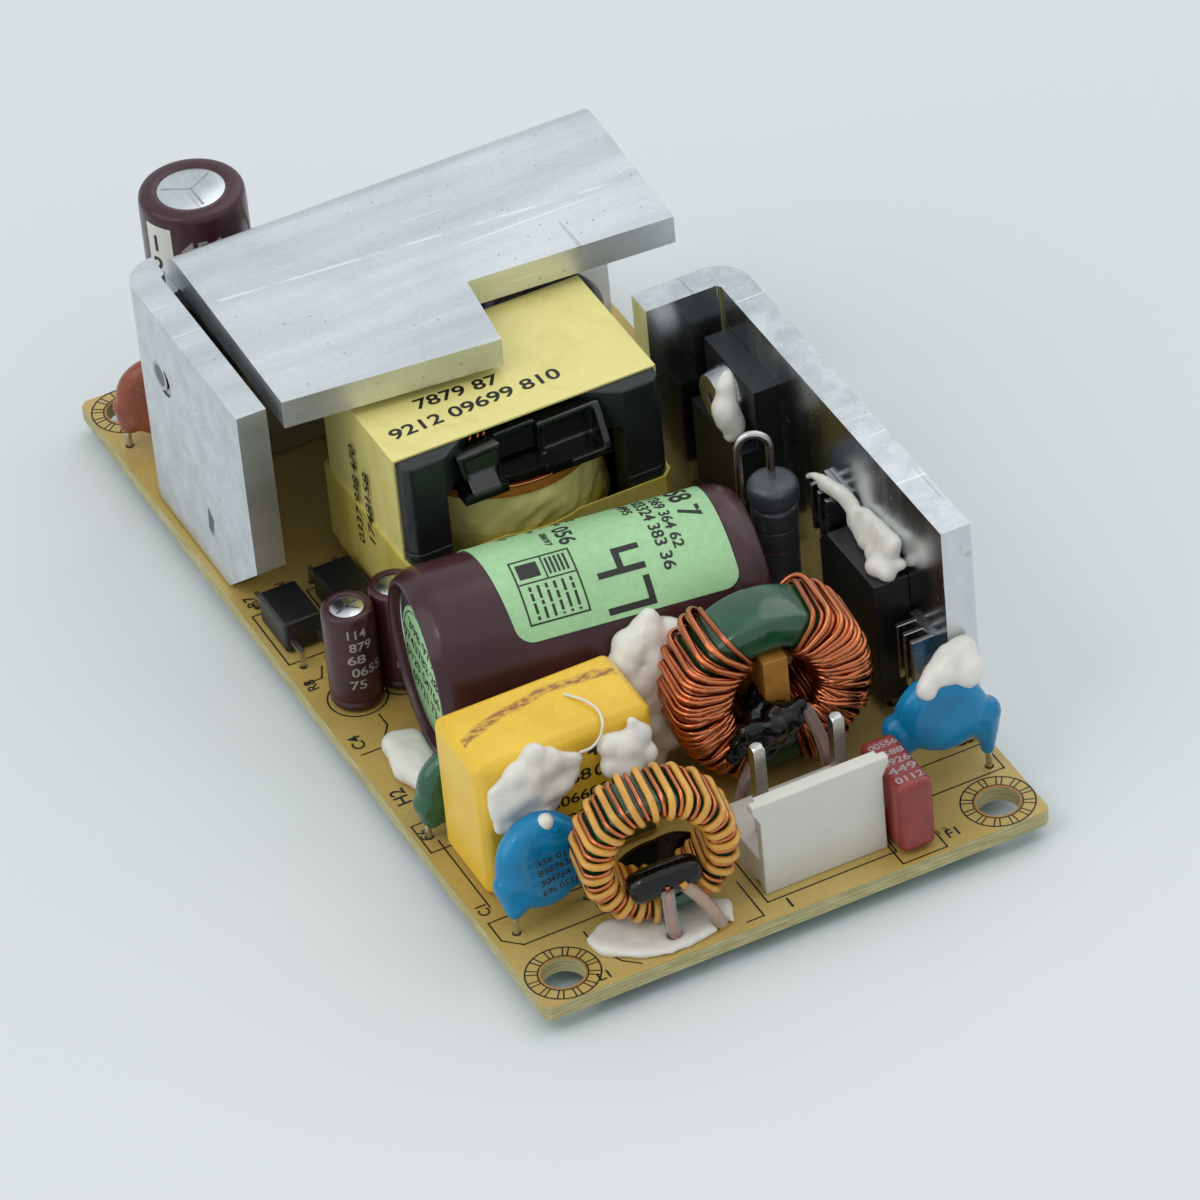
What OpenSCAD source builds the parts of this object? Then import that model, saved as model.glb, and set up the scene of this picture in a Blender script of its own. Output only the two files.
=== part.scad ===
// Open frame power supply on a bare circuit board.
// Millimetres. X runs along the input edge, Y towards the output edge, Z up.
// The origin is the middle of the four mounting holes, on the board's underside.

/* [Circuit board] */
// Width, along the input edge
board_w = 50.8; // [50.8:0.1:51.4]
// Length, from the input edge to the output edge
board_l = 101.6; // [101.6:0.1:103]
// Thickness
board_t = 1.6; // [1.5:0.1:1.6]
// Diameter of the four mounting holes
mount_d = 4; // [3.2:0.1:4.2]
// Distance of a mounting hole's centre from both edges
mount_inset = 3.5; // [3.3:0.1:3.6]
// Radial clearance of a lead in its drilled hole
lead_clear = 0.15; // [0.1:0.05:0.2]

/* [Heatsinks] */
// Thickness of the aluminium sheet
sheet_t = 3; // [2.6:0.1:3]
// Inner radius of the folds
fold_r = 0.5; // [0.4:0.1:0.6]
// Height of the output heatsink's top plate
output_top = 28; // [27.6:0.1:29]
// Height of the output heatsink's left wall
output_wall_top = 27; // [26:0.1:27.4]
// Height of the input heatsink
input_top = 26.6; // [25.5:0.1:28]
// Length of the input heatsink's side wall
input_len = 46.1; // [45:0.1:46.1]
// Length of the input heatsink's return
input_return = 10.6; // [9:0.1:11]

/* [Transformer] */
// Width of the ferrite core
core_w = 26.45; // [26:0.05:26.5]
// Depth of the core
core_d = 19.4; // [19:0.1:19.4]
// Height of one core half
core_half = 10.1; // [9.9:0.1:10.2]
// Height of the core's underside above the board's underside
core_z = 3.6; // [3.4:0.1:3.8]
// Thickness of the core's back plates
core_back = 4.35; // [4:0.05:4.5]
// Radius of the round winding window
window_r = 11.25; // [11:0.05:11.3]
// Diameter of the centre post
post_d = 12; // [11:0.1:12.4]
// Width of the front and rear openings
opening_w = 18; // [17:0.1:18.2]
// Outer radius of the winding
winding_r = 10.4; // [9.6:0.1:10.8]
// Thickness of the wrapping tape
tape_t = 0.2; // [0.1:0.05:0.25]

/* [Bulk capacitor] */
// Radius of the sleeved can
bulk_r = 9; // [8.7:0.1:9]
// Length of the can
bulk_len = 32.2; // [31:0.1:32.4]
// Height of the can's axis above the board's underside
bulk_z = 12; // [11.8:0.1:12.4]
// Turn of the can's axis from the X axis, in degrees
bulk_yaw = -7.85; // [-8.2:0.05:-7.6]

/* [Chokes] */
// Turns of each winding on the small choke
small_turns = 22; // [14:1:22]
// Turns in the inner layer of each large choke winding
big_turns = 18; // [10:1:18]
// Turns in the outer layer of each large choke winding
big_outer_turns = 14; // [8:1:14]
// Wire thickness of the small choke's yellow winding
yellow_wire = 0.66; // [0.5:0.02:0.66]
// Wire thickness of the small choke's copper winding
copper_wire = 0.4; // [0.3:0.02:0.4]
// Wire thickness of the large choke
big_wire = 0.55; // [0.45:0.01:0.55]

/* [Connectors] */
// Pitch of the connector pins' places
pin_pitch = 3.96; // [3.9:0.01:4]
// Side of a square pin
pin_w = 1.14; // [1:0.01:1.2]
// Height of the pin tips
pin_top = 15; // [13:0.5:16]
// Pins of the output connector
output_pins = 4; // [3:1:4]

/* [Hidden] */

$fn = 48;
eps = 0.01;

// Colours
board_colour = "#c9b25e";
aluminium_colour = "#c3c6c8";
ferrite_colour = "#2a2c2d";
bobbin_colour = "#101112";
tape_colour = "#e9e08a";
sleeve_colour = "#3d2328";
label_colour = "#a3d79c";
x_cap_colour = "#f0cc30";
disc_blue = "#1c86bd";
core_green = "#145c38";
copper_colour = "#b8663a";
yellow_wire_colour = "#d9a83c";
fuse_colour = "#8c2f2c";
nylon_colour = "#e4e4de";
plastic_black = "#1c1d1f";
steel_colour = "#b9babc";
silicone_colour = "#f4f3ef";

// Mounting holes
mount_x = board_w / 2 - mount_inset;
mount_y = board_l / 2 - mount_inset;
mounts = [for (sx = [-1, 1], sy = [-1, 1]) [sx * mount_x, sy * mount_y]];
board_chamfer = 0.6;

// Heatsinks: a gap keeps the sheet off the board, and pins carry it
sheet_gap = 0.3;
sheet_z = board_t + sheet_gap;
bend_r = fold_r + sheet_t;
sheet_pin_d = 1.5;
output_left = -24.7;
output_front = 9.6;
output_back = 36.2;
output_right = 23.6;
output_cut_y = 17.4;
output_cut_z = 8.6;
plate_left = -20.1;
plate_right = 23.4;
plate_front_y = output_back - bend_r;
plate_outline = [
    [plate_left - 0.45, 8.4], [0.7, 6.1], [1.8, 15.6],
    [plate_right - 0.85, 14.15], [plate_right, plate_front_y], [plate_left, plate_front_y],
];
dent_at = [19.4, 8.7];
input_inset = 0.27;
input_right = board_w / 2 - input_inset;
input_left = input_right - sheet_t;
input_back = 7.3;
input_front = input_back - input_len;
output_sheet_pins = [[-17, output_back - sheet_t / 2], [18, output_back - sheet_t / 2],
    [output_left + sheet_t / 2, 24]];
input_sheet_pins = [[input_right - sheet_t / 2, -35], [input_right - sheet_t / 2, -10.5],
    [input_right - 8.63, input_back - sheet_t / 2]];

// Transistor and rectifier in the same insulated package
package_w = 10;
package_h = 15.8;
package_t = 4.35;
package_tab_t = 2.55;
package_z = 6.5;
package_step = 9.4;
package_hole_up = 12.8;
package_lead_in = 2.4;
package_pitch = 2.54;
package_lead_w = 0.8;
package_lead_t = 0.5;
screw_d = 3;
screw_hole_d = 3.2;
screw_head_d = 5.6;
screw_head_h = 2.1;
screw_z = package_z + package_hole_up;
transistor_y = -1.9;
output_rectifier_y = 27.8;
transistor_leads_at = [for (i = [-1:1]) [input_left - package_lead_in, transistor_y + i * package_pitch]];
output_rectifier_leads_at =
    [for (i = [-1:1]) [output_left + sheet_t + package_lead_in, output_rectifier_y + i * package_pitch]];

// Bridge rectifier
bridge_t = 3.6;
bridge_w = 10.8;
bridge_h = 13.6;
bridge_y = -26.3;
bridge_z = 3.4;
bridge_pitch = 2.54;
bridge_lead_x = input_left - bridge_t / 2;
bridge_cut = 1.6;
clip_t = 0.5;
clip_w = 4.2;
clip_out = 2.4;
clip_rear_z = 13.6;
clip_rear_h = 5.2;
clip_front_z = 7.2;
clip_front_h = 6;
bridge_leads_at = [for (i = [-1.5:1:1.5]) [bridge_lead_x, bridge_y + i * bridge_pitch]];

// Transformer
transformer_at = [-0.42, 7.8];
core_chamfer = 0.8;
core_top = core_z + 2 * core_half;
notch_depth = 3.2;
notch_inner_w = 9;
bobbin_gap = 0.15;
bobbin_wall = 0.9;
flange_t = 1;
flange_low = core_z + core_back + bobbin_gap;
flange_high = core_top - core_back - bobbin_gap - flange_t;
tape_loop_w = 16;
belt_z = 4.2;
belt_h = 8.3;
rail_y = 11.5;
rail_w = 22;
rail_t = 2.4;
rail_h = 2.5;
pin_cover = 0.8;
apron_w = 14.8;
apron_t = 0.9;
transformer_pin_d = 0.8;
transformer_pin_pitch = 3.8;
transformer_leads_at = [for (sy = [-1, 1], i = [-2.5:1:2.5])
    [transformer_at[0] + i * transformer_pin_pitch, transformer_at[1] + sy * rail_y]];

// Bulk capacitor and its label
bulk_at = [-3.41, -16.26];
bulk_edge_r = 1.6;
bulk_recess = 1.2;
bulk_recess_r = 7.7;
bulk_groove = 4;
bulk_lead_d = 0.8;
bulk_lead_out = 1.6;
bulk_pitch = 7.5;
bulk_leads_at = [for (s = [-1, 1]) bulk_point([bulk_len / 2 + bulk_lead_out, s * bulk_pitch / 2])];
label_gap = 0.03;
label_t = 0.12;
label_start = -8;
label_end = 13.1;
label_front_angle = 54;
label_back_angle = 70;
sticker_r = 6.3;
sticker_drop = 0.9;

// Chokes
turn_gap = 0.05;
small_at = [-10.75, -44.58, 9.74];
small_yaw = -10.9;
small_core = [4.9, 6.7, 4.8];
small_open = 40;
small_open_mid = 282;
small_first = small_open_mid + small_open / 2;
small_last = small_first + 360 - small_open;
small_step = (small_last - small_first) / (small_turns - 1);
small_epoxy_r = 1;
small_epoxy_reach = 1.8;
small_epoxy_at = [0, -1.95, 2.9];
small_sleeves = [
    [[-11.6, -48.5, 7.3], [-11.3, -48.5, 2.1]],
    [[-10, -48.75, 7.3], [-7.1, -49.3, 2.1]],
];
small_rear_leads = [[-14.2, -41.9], [-7.8, -41.2]];
small_lead_d = 0.5;
big_at = [7.1, -31.5, 11.7];
big_yaw = -5.7;
big_core = [4.8, 8.5, 6];
big_open = 29;
big_foot_open = 14;
separator_t = 2.4;
separator_high = 4.4;
separator_low = 3.2;
separator_depth = 7;
big_epoxy_lumps = [[-3.6, -1.6, 5.2, 1.3], [-0.4, -1.7, 5.2, 1.4], [-1.6, -3.2, 5, 1.1], [-0.2, -1.2, 1.2, 1.9]];
big_sleeves = [
    [[8.5, -36.75, 11.1], [10.3, -36.95, 2.1]],
    [[3.3, -36.1, 6.5], [1.6, -36, 2.1]],
];
big_rear_leads = [[3.9, -29.6], [10.4, -30.2]];
big_lead_d = 0.6;
choke_sleeve_d = 1.3;
big_lift = 2 * (big_wire + turn_gap) + 2 * turn_gap;

// Two-lead discs: [centre, turn, radius, thickness, height of the centre, pitch, lean]
line_disc_inset = 5.8;
line_disc = [[board_w / 2 - line_disc_inset, -41.6], -14, 4.1, 3, 9.2, 8.2, 0];
neutral_disc = [[-19.3, -39.9], 7, 4.5, 2.8, 7.7, 7.6, 13];
rear_disc = [[-20.5, 40.6], -25, 4.4, 2.4, 7.3, 7.5, 0];
thermistor_inset = 4.8;
thermistor_disc = [[thermistor_inset - board_w / 2, -24.5], 0, 4.2, 2.4, 6.6, 7, 0];
disc_lobe_z = 3.4;
disc_lead_d = 0.6;

// Small parts
x_cap_box = [17.7, 9.3, 15.2];
x_cap_at = [-14.45, -30.65];
x_cap_pitch = 15;
x_cap_lead_d = 0.8;
x_cap_edge = 0.8;
fuse_box = [3.6, 7.9, 7.7];
fuse_at = [12.7, -45.85];
fuse_z = 1.9;
fuse_pitch = 5.08;
fuse_lead_d = 0.6;
fuse_edge = 0.5;
resistor_clear = 5.06;
resistor_at = [bulk_at[0] + bulk_len / 2 * cos(bulk_yaw) + resistor_clear, -13.8];
resistor_bend_at = [resistor_at[0] - 2.75, -12.7];
resistor_r = 2;
resistor_end_r = 2.4;
resistor_z = 2.6;
resistor_top = 18;
resistor_loop_top = 23.6;
resistor_lead_d = 0.75;
control_caps_at = [[-21.2, -3.3], [-16.15, -2.75]];
control_cap_r = 2.5;
control_cap_top = 12.6;
control_cap_pitch = 2;
tall_cap_at = [-13.4, 44.5];
tall_cap_r = 5.15;
tall_cap_top = 26.8;
tall_cap_pitch = 5;
short_cap_at = [-3.4, 42.5];
short_cap_r = 4.1;
short_cap_top = 17.6;
short_cap_pitch = 3.5;
can_lead_d = 0.6;
output_choke_at = [13.3, 26.7];
output_choke_r = 6.2;
output_choke_top = 13.6;
output_choke_pitch = 7.6;
opto_at = [[-22.35, 8.37], [-16.45, 9.1]];
opto_size = [3.9, 5.9, 3.4];
opto_z = 1.8;
opto_pitch = 2.54;
opto_row = 10.16;
opto_lead_w = 0.5;
opto_lead_z = 3.4;
chips_at = [[-9, -20], [6, 2], [-4, 24]];
chip_size = [4, 5, 1.4];

// Silicone adhesive: lumps as [x, y, z, radius], and flat patches
bulk_foot_lumps = [[-21.6, -12, 2.6, 1], [-22.2, -16, 2.8, 1.2], [-21.2, -19.8, 2.6, 1], [-17.5, -15, 3, 1.2]];
mid_lumps = [[-3.8, -26.8, 12.4, 1.5], [-1.4, -26.2, 15.2, 1.3], [0.8, -25.9, 14, 1.1],
    [-2.2, -26.6, 6.4, 1.6], [-3, -27.6, 2.8, 1.2]];
// The next four lists count X from what the lumps lie on: the wall, or the disc's middle
transistor_lumps = [[-3.23, -2.9, 22.2, 0.5], [-3.63, -3.5, 21, 0.9], [-4.23, -4.5, 19.2, 1.3],
    [-3.93, -5, 17.5, 1]];
line_disc_lumps = [[-0.7, -41.6, 13, 1], [3, -41.7, 12.6, 1.3], [1.6, -40.6, 14, 1.2], [3.6, -39.8, 13.6, 1.1]];
bridge_lumps = [[-1.53, -29.6, 17.2, 0.9], [-0.73, -22.6, 17.3, 0.7], [-0.43, -24.2, 19.6, 0.4],
    [-0.43, -30.8, 20.4, 0.4]];
strand_lumps = [[-0.53, -22.8, 19.4, 0.35], [-1.53, -20.8, 20.4, 0.35], [-1.93, -18.6, 19.2, 0.35]];
choke_foot_patch = [[-18.4, -44.9], [-18.2, -47], [-15.6, -49.2], [-12.5, -50.4], [-5.9, -49.6], [-5.1, -46.9],
    [-7, -45.5], [-16, -43.6]];
choke_foot_t = 0.65;
x_cap_patch = [[-22.4, 14.2], [-19.2, 16.2], [-16.5, 16.4], [-13, 14.6], [-15.2, 11], [-16.9, 9.2], [-22.1, 9.4]];
x_cap_patch_t = 0.8;
silicone_gap = 0.05;

// Connectors: places of the pins in each
connector_margin = 4.38;
connector_wall_y = -4.3;
connector_back_y = 5;
connector_base_h = 3.4;
connector_wall_t = 1;
connector_top = 12;
connector_lip = 0.7;
input_at = [4.4, -43.3];
output_at = [9.9, 44.1];
pin_round = pin_w * sqrt(2);
input_pins_at = [for (s = [-1, 1]) [input_at[0] + s * pin_pitch, input_at[1]]];
output_pins_at = [for (i = [0:output_pins - 1])
    [output_at[0] + (i - (output_pins - 1) / 2) * pin_pitch, output_at[1]]];

// Solder under the board
solder_h = 1.1;
solder_tail = 1.7;
solder_ring = 0.75;

function bulk_point(p) = [
    bulk_at[0] + p[0] * cos(bulk_yaw) - p[1] * sin(bulk_yaw),
    bulk_at[1] + p[0] * sin(bulk_yaw) + p[1] * cos(bulk_yaw),
];
function pair_at(centre, pitch, turn = 0) = [for (s = [-1, 1])
    [centre[0] + s * pitch / 2 * cos(turn), centre[1] + s * pitch / 2 * sin(turn)]];
function disc_pair(disc) = pair_at(disc[0], disc[5], disc[1]);
function opto_leads(centre) = [for (sx = [-1, 1], sy = [-1, 1])
    [centre[0] + sx * opto_pitch / 2, centre[1] + sy * opto_row / 2]];
function foot(rod) = [rod[1][0], rod[1][1]];
function with_size(points, d) = [for (p = points) [p, d]];

disc_leads_at = [for (disc = [line_disc, neutral_disc, rear_disc, thermistor_disc], p = disc_pair(disc)) p];
can_leads_at = concat(
    pair_at(control_caps_at[0], control_cap_pitch), pair_at(control_caps_at[1], control_cap_pitch),
    pair_at(tall_cap_at, tall_cap_pitch), pair_at(short_cap_at, short_cap_pitch)
);
opto_leads_at = concat(opto_leads(opto_at[0]), opto_leads(opto_at[1]));
package_lead_round = norm([package_lead_w, package_lead_t]);
small_leads_at = concat([for (rod = small_sleeves) foot(rod)], small_rear_leads);
big_leads_at = concat([for (rod = big_sleeves) foot(rod)], big_rear_leads);

// Every drilled lead hole: [place, diameter of what passes through it]
lead_holes = concat(
    with_size(bulk_leads_at, bulk_lead_d),
    with_size(pair_at(x_cap_at, x_cap_pitch), x_cap_lead_d),
    with_size(disc_leads_at, disc_lead_d),
    with_size(can_leads_at, can_lead_d),
    with_size(pair_at(fuse_at, fuse_pitch, 90), fuse_lead_d),
    with_size([resistor_at, resistor_bend_at], resistor_lead_d),
    with_size(concat(transistor_leads_at, output_rectifier_leads_at, bridge_leads_at), package_lead_round),
    with_size(opto_leads_at, opto_lead_w),
    with_size(transformer_leads_at, transformer_pin_d),
    with_size(small_leads_at, small_lead_d),
    with_size(big_leads_at, big_lead_d),
    with_size(pair_at(output_choke_at, output_choke_pitch), big_lead_d),
    with_size(concat(input_pins_at, output_pins_at), pin_round),
    with_size(concat(output_sheet_pins, input_sheet_pins), sheet_pin_d)
);

// ---- Shared shapes ----

// Round bar between two points
module rod(p, q, d) {
    v = q - p;
    translate(p)
        rotate([0, acos(v[2] / norm(v)), atan2(v[1], v[0])])
            cylinder(h = norm(v), d = d);
}

// Straight leads from the board's underside up to a height
module straight_leads(points, d, top) {
    for (p = points)
        translate([p[0], p[1], 0])
            cylinder(h = top, d = d);
}

// Rectangle with cut corners, centred
module cut_rect(w, d, c) {
    polygon([
        [-w / 2 + c, -d / 2], [w / 2 - c, -d / 2], [w / 2, -d / 2 + c], [w / 2, d / 2 - c],
        [w / 2 - c, d / 2], [-w / 2 + c, d / 2], [-w / 2, d / 2 - c], [-w / 2, -d / 2 + c],
    ]);
}

// Quarter ring of bent sheet, in the first quadrant
module bend_profile() {
    intersection() {
        difference() {
            circle(r = bend_r);
            circle(r = fold_r);
        }
        square(bend_r);
    }
}

// Box with edges cut along Z and at the top
module soft_box(size, c) {
    intersection() {
        linear_extrude(size[2])
            cut_rect(size[0], size[1], c);
        translate([0, size[1] / 2, size[2] / 2])
            rotate([90, 0, 0])
                linear_extrude(size[1])
                    cut_rect(size[0], size[2], c);
        translate([-size[0] / 2, 0, size[2] / 2])
            rotate([90, 0, 90])
                linear_extrude(size[0])
                    cut_rect(size[1], size[2], c);
    }
}

// Standing can with a rolled top edge, a crimp near its foot and a recessed end
module standing_can(r, z0, top) {
    edge = 0.16 * r;
    crimp_z = z0 + 0.45 * r;
    crimp = 0.09 * r;
    dish = 0.05 * r;
    rotate_extrude()
        polygon([
            [0, z0], [r - edge, z0], [r, z0 + edge], [r, crimp_z - crimp], [r - crimp, crimp_z],
            [r, crimp_z + crimp], [r, top - edge], [r - 0.4 * edge, top - 0.3 * edge],
            [r - edge, top], [r - 1.4 * edge, top], [r - 1.8 * edge, top - dish], [0, top - dish],
        ]);
}

// Epoxy coated disc on two lobes that run down its leads
module lead_disc(disc) {
    r = disc[2];
    t = disc[3];
    translate([disc[0][0], disc[0][1], disc_lobe_z])
        rotate([0, 0, disc[1]])
            rotate([-disc[6], 0, 0]) {
                translate([0, 0, disc[4] - disc_lobe_z])
                    rotate([90, 0, 0])
                        rotate_extrude() {
                            translate([0, -t / 2])
                                square([r - t / 2, t]);
                            intersection() {
                                translate([r - t / 2, 0])
                                    circle(d = t);
                                translate([0, -t])
                                    square([r, 2 * t]);
                            }
                        }
                for (s = [-1, 1])
                    translate([s * disc[5] / 2, 0, 0]) {
                        cylinder(h = disc[4] - disc_lobe_z - 1, r1 = 0.5, r2 = 0.46 * t);
                        translate([0, 0, disc[4] - disc_lobe_z - 1])
                            sphere(r = 0.46 * t);
                    }
            }
}

// Section of a ring core, in the right half plane
module core_section(core, grow) {
    translate([core[0] - grow, -core[2] / 2 - grow])
        square([core[1] - core[0] + 2 * grow, core[2] + 2 * grow]);
}

// One turn of square wire round a core's section
module turn(core, wire, lift, inner_lift) {
    grow = turn_gap + lift;
    rotate([90, 0, 0])
        linear_extrude(wire, center = true)
            difference() {
                translate([core[0] - grow - inner_lift - wire, -core[2] / 2 - grow - wire])
                    square([core[1] - core[0] + inner_lift + 2 * (grow + wire), core[2] + 2 * (grow + wire)]);
                translate([-inner_lift, 0])
                    core_section(core, grow);
                core_section(core, grow);
            }
}

// Turns spread evenly between two angles round the ring
module turns(core, wire, count, from, to, lift = 0, inner_lift = 0) {
    for (i = [0:count - 1])
        rotate([0, 0, from + (to - from) * i / (count - 1)])
            turn(core, wire, lift, inner_lift);
}

// Stands a ring lying in the XY plane up, facing -Y, with its 90 degree mark on top
module stand_ring(place, yaw) {
    translate(place)
        rotate([0, 0, yaw])
            rotate([90, 0, 0])
                children();
}

module ring_core(core, edge) {
    rotate_extrude()
        translate([(core[0] + core[1]) / 2, 0])
            cut_rect(core[1] - core[0], core[2], edge);
}

// Insulated transistor package on a wall: X points from the wall into the room
module wall_package() {
    difference() {
        union() {
            translate([0, -package_w / 2, package_z])
                cube([package_t, package_w, package_step]);
            translate([0, -package_w / 2, package_z])
                cube([package_tab_t, package_w, package_h]);
        }
        translate([-eps, 0, screw_z])
            rotate([0, 90, 0])
                cylinder(h = package_t, d = screw_hole_d);
    }
}

// Pan head screw along X, its shank ending inside the sheet
module wall_screw() {
    translate([-sheet_t + 0.2, 0, screw_z])
        rotate([0, 90, 0])
            cylinder(h = package_tab_t + sheet_t, d = screw_d);
    translate([package_tab_t, 0, screw_z])
        rotate([0, 90, 0])
            difference() {
                cylinder(h = screw_head_h, d1 = screw_head_d, d2 = screw_head_d - 1);
                translate([0, 0, screw_head_h - 1])
                    cylinder(h = 2, d = 1.6, $fn = 4);
            }
}

module wall_leads(points) {
    for (p = points)
        translate([p[0] - package_lead_t / 2, p[1] - package_lead_w / 2, 0])
            cube([package_lead_t, package_lead_w, package_z]);
}

// Shrouded pin header, its wall towards -Y, with a square hole for each pin
module header_housing(span, pin_offsets) {
    w = span + connector_margin;
    difference() {
        union() {
            translate([-w / 2, connector_wall_y, board_t])
                cube([w, connector_back_y - connector_wall_y, connector_base_h]);
            translate([0, connector_wall_y + connector_wall_t, 0])
                rotate([90, 0, 0])
                    linear_extrude(connector_wall_t)
                        polygon([
                            [-w / 2, board_t], [w / 2, board_t], [w / 2, connector_top - 3 * connector_lip],
                            [w / 2 + connector_lip, connector_top - connector_lip],
                            [w / 2 + connector_lip, connector_top], [-w / 2 - connector_lip, connector_top],
                            [-w / 2 - connector_lip, connector_top - connector_lip],
                            [-w / 2, connector_top - 3 * connector_lip],
                        ]);
            translate([-w / 2, connector_wall_y, connector_top - connector_lip])
                cube([w, connector_wall_t + 0.5, connector_lip]);
        }
        for (x = pin_offsets)
            translate([x - pin_w / 2, -pin_w / 2, board_t - eps])
                cube([pin_w, pin_w, connector_base_h + 1]);
        // Drain grooves under the base
        for (s = [-1, 1])
            translate([-w / 2 - eps, s * 2.6 - 0.6, board_t - eps])
                cube([w + 2 * eps, 1.2, 0.6]);
    }
}

// Square pins with chamfered tips
module header_pins(points) {
    for (p = points)
        translate([p[0], p[1], 0]) {
            intersection() {
                translate([-pin_w / 2, -pin_w / 2, 0])
                    cube([pin_w, pin_w, pin_top]);
                cylinder(h = pin_top, r1 = pin_top + 0.45 * pin_w, r2 = 0.45 * pin_w);
            }
        }
}

// ---- Board ----

module circuit_board() {
    color(board_colour)
        difference() {
            linear_extrude(board_t)
                cut_rect(board_w, board_l, board_chamfer);
            for (p = mounts)
                translate([p[0], p[1], -eps])
                    cylinder(h = board_t + 2 * eps, d = mount_d);
            for (hole = lead_holes)
                translate([hole[0][0], hole[0][1], -eps])
                    cylinder(h = board_t + 2 * eps, d = hole[1] + 2 * lead_clear, $fn = 24);
        }
}

module solder_joints() {
    color(steel_colour)
        for (hole = lead_holes)
            translate([hole[0][0], hole[0][1], -solder_tail]) {
                cylinder(h = solder_tail, d = hole[1] * 0.8, $fn = 24);
                translate([0, 0, solder_tail - solder_h])
                    cylinder(h = solder_h, r1 = hole[1] / 2, r2 = hole[1] / 2 + solder_ring, $fn = 24);
            }
}

module control_chips() {
    color(plastic_black)
        for (p = chips_at)
            translate([p[0] - chip_size[0] / 2, p[1] - chip_size[1] / 2, -chip_size[2]])
                cube(chip_size);
}

// ---- Heatsinks ----

// Left wall seen from the side, its lower front corner cut off
module output_left_wall() {
    translate([output_left, 0, 0])
        rotate([90, 0, 90])
            linear_extrude(sheet_t)
                polygon([
                    [output_front, output_cut_z], [output_cut_y, sheet_z], [output_back - bend_r, sheet_z],
                    [output_back - bend_r, output_wall_top], [output_front, output_wall_top],
                ]);
}

// Top plate, cut out of square, with its notch over the transformer
module output_top_plate() {
    translate([0, 0, output_top - sheet_t])
        linear_extrude(sheet_t)
            polygon(plate_outline);
    translate([plate_left, output_back - bend_r, output_top - bend_r])
        rotate([90, 0, 90])
            linear_extrude(plate_right - plate_left)
                bend_profile();
}

module output_heatsink() {
    color(aluminium_colour)
        difference() {
            union() {
                output_left_wall();
                translate([output_left + bend_r, output_back - bend_r, sheet_z])
                    linear_extrude(output_wall_top - sheet_z)
                        mirror([1, 0])
                            bend_profile();
                translate([output_left + bend_r, output_back - sheet_t, sheet_z])
                    cube([output_right - output_left - bend_r, sheet_t, output_top - bend_r - sheet_z]);
                output_top_plate();
                straight_leads(output_sheet_pins, sheet_pin_d, sheet_z);
            }
            translate([output_left - eps, output_rectifier_y, screw_z])
                rotate([0, 90, 0])
                    cylinder(h = sheet_t + 2 * eps, d = screw_hole_d);
            // Punched dent in the left wall
            translate([output_left - 0.4, dent_at[0], dent_at[1]])
                rotate([-35, 0, 0])
                    cube([0.8, 1.8, 2.8], center = true);
        }
}

module input_heatsink() {
    color(aluminium_colour)
        difference() {
            union() {
                translate([input_left, input_front, sheet_z])
                    cube([sheet_t, input_len - bend_r, input_top - sheet_z]);
                translate([input_right - bend_r, input_back - bend_r, sheet_z])
                    linear_extrude(input_top - sheet_z)
                        bend_profile();
                translate([input_right - input_return, input_back - sheet_t, sheet_z])
                    cube([input_return - bend_r, sheet_t, input_top - sheet_z]);
                straight_leads(input_sheet_pins, sheet_pin_d, sheet_z);
            }
            translate([input_left - eps, transistor_y, screw_z])
                rotate([0, 90, 0])
                    cylinder(h = sheet_t + 2 * eps, d = screw_hole_d);
        }
}

// ---- Transformer ----

// Wedge notch and straight opening at the front of a core half, seen from above
module core_notch(clear) {
    inner = notch_inner_w / 2 - clear;
    outer = opening_w / 2 - clear;
    polygon([
        [-outer, -core_d / 2 - 3], [outer, -core_d / 2 - 3], [outer, -core_d / 2],
        [inner, -core_d / 2 + notch_depth - clear], [-inner, -core_d / 2 + notch_depth - clear],
        [-outer, -core_d / 2],
    ]);
}

// Core half standing on its back plate
module core_part() {
    difference() {
        linear_extrude(core_half)
            difference() {
                cut_rect(core_w, core_d, core_chamfer);
                core_notch(0);
                mirror([0, 1])
                    core_notch(0);
            }
        translate([0, 0, core_back])
            linear_extrude(core_half)
                difference() {
                    union() {
                        circle(r = window_r);
                        square([opening_w, 2 * core_d], center = true);
                    }
                    circle(d = post_d);
                }
    }
}

module at_transformer(z) {
    translate([transformer_at[0], transformer_at[1], z])
        children();
}

module transformer_core_lower() {
    color(ferrite_colour)
        at_transformer(core_z)
            core_part();
}

module transformer_core_upper() {
    color(ferrite_colour)
        at_transformer(core_top)
            mirror([0, 0, 1])
                core_part();
}

// Core and winding seen from above: the winding stands out at front and rear
module core_and_winding() {
    cut_rect(core_w, core_d, core_chamfer);
    circle(r = winding_r);
}

// Wire guide ear in the front notch, from x0 to x1, with a sloped top
module bobbin_ear(x0, x1, low, high) {
    front = -core_d / 2 - 1.1;
    rear = -core_d / 2 + notch_depth - bobbin_gap;
    intersection() {
        translate([0, 0, flange_high])
            linear_extrude(high)
                core_notch(bobbin_gap);
        translate([x0, 0, flange_high])
            rotate([90, 0, 90])
                linear_extrude(x1 - x0)
                    polygon([[front, 0], [rear, 0], [rear, high], [rear - 1.2, high], [front, low]]);
    }
}

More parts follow.
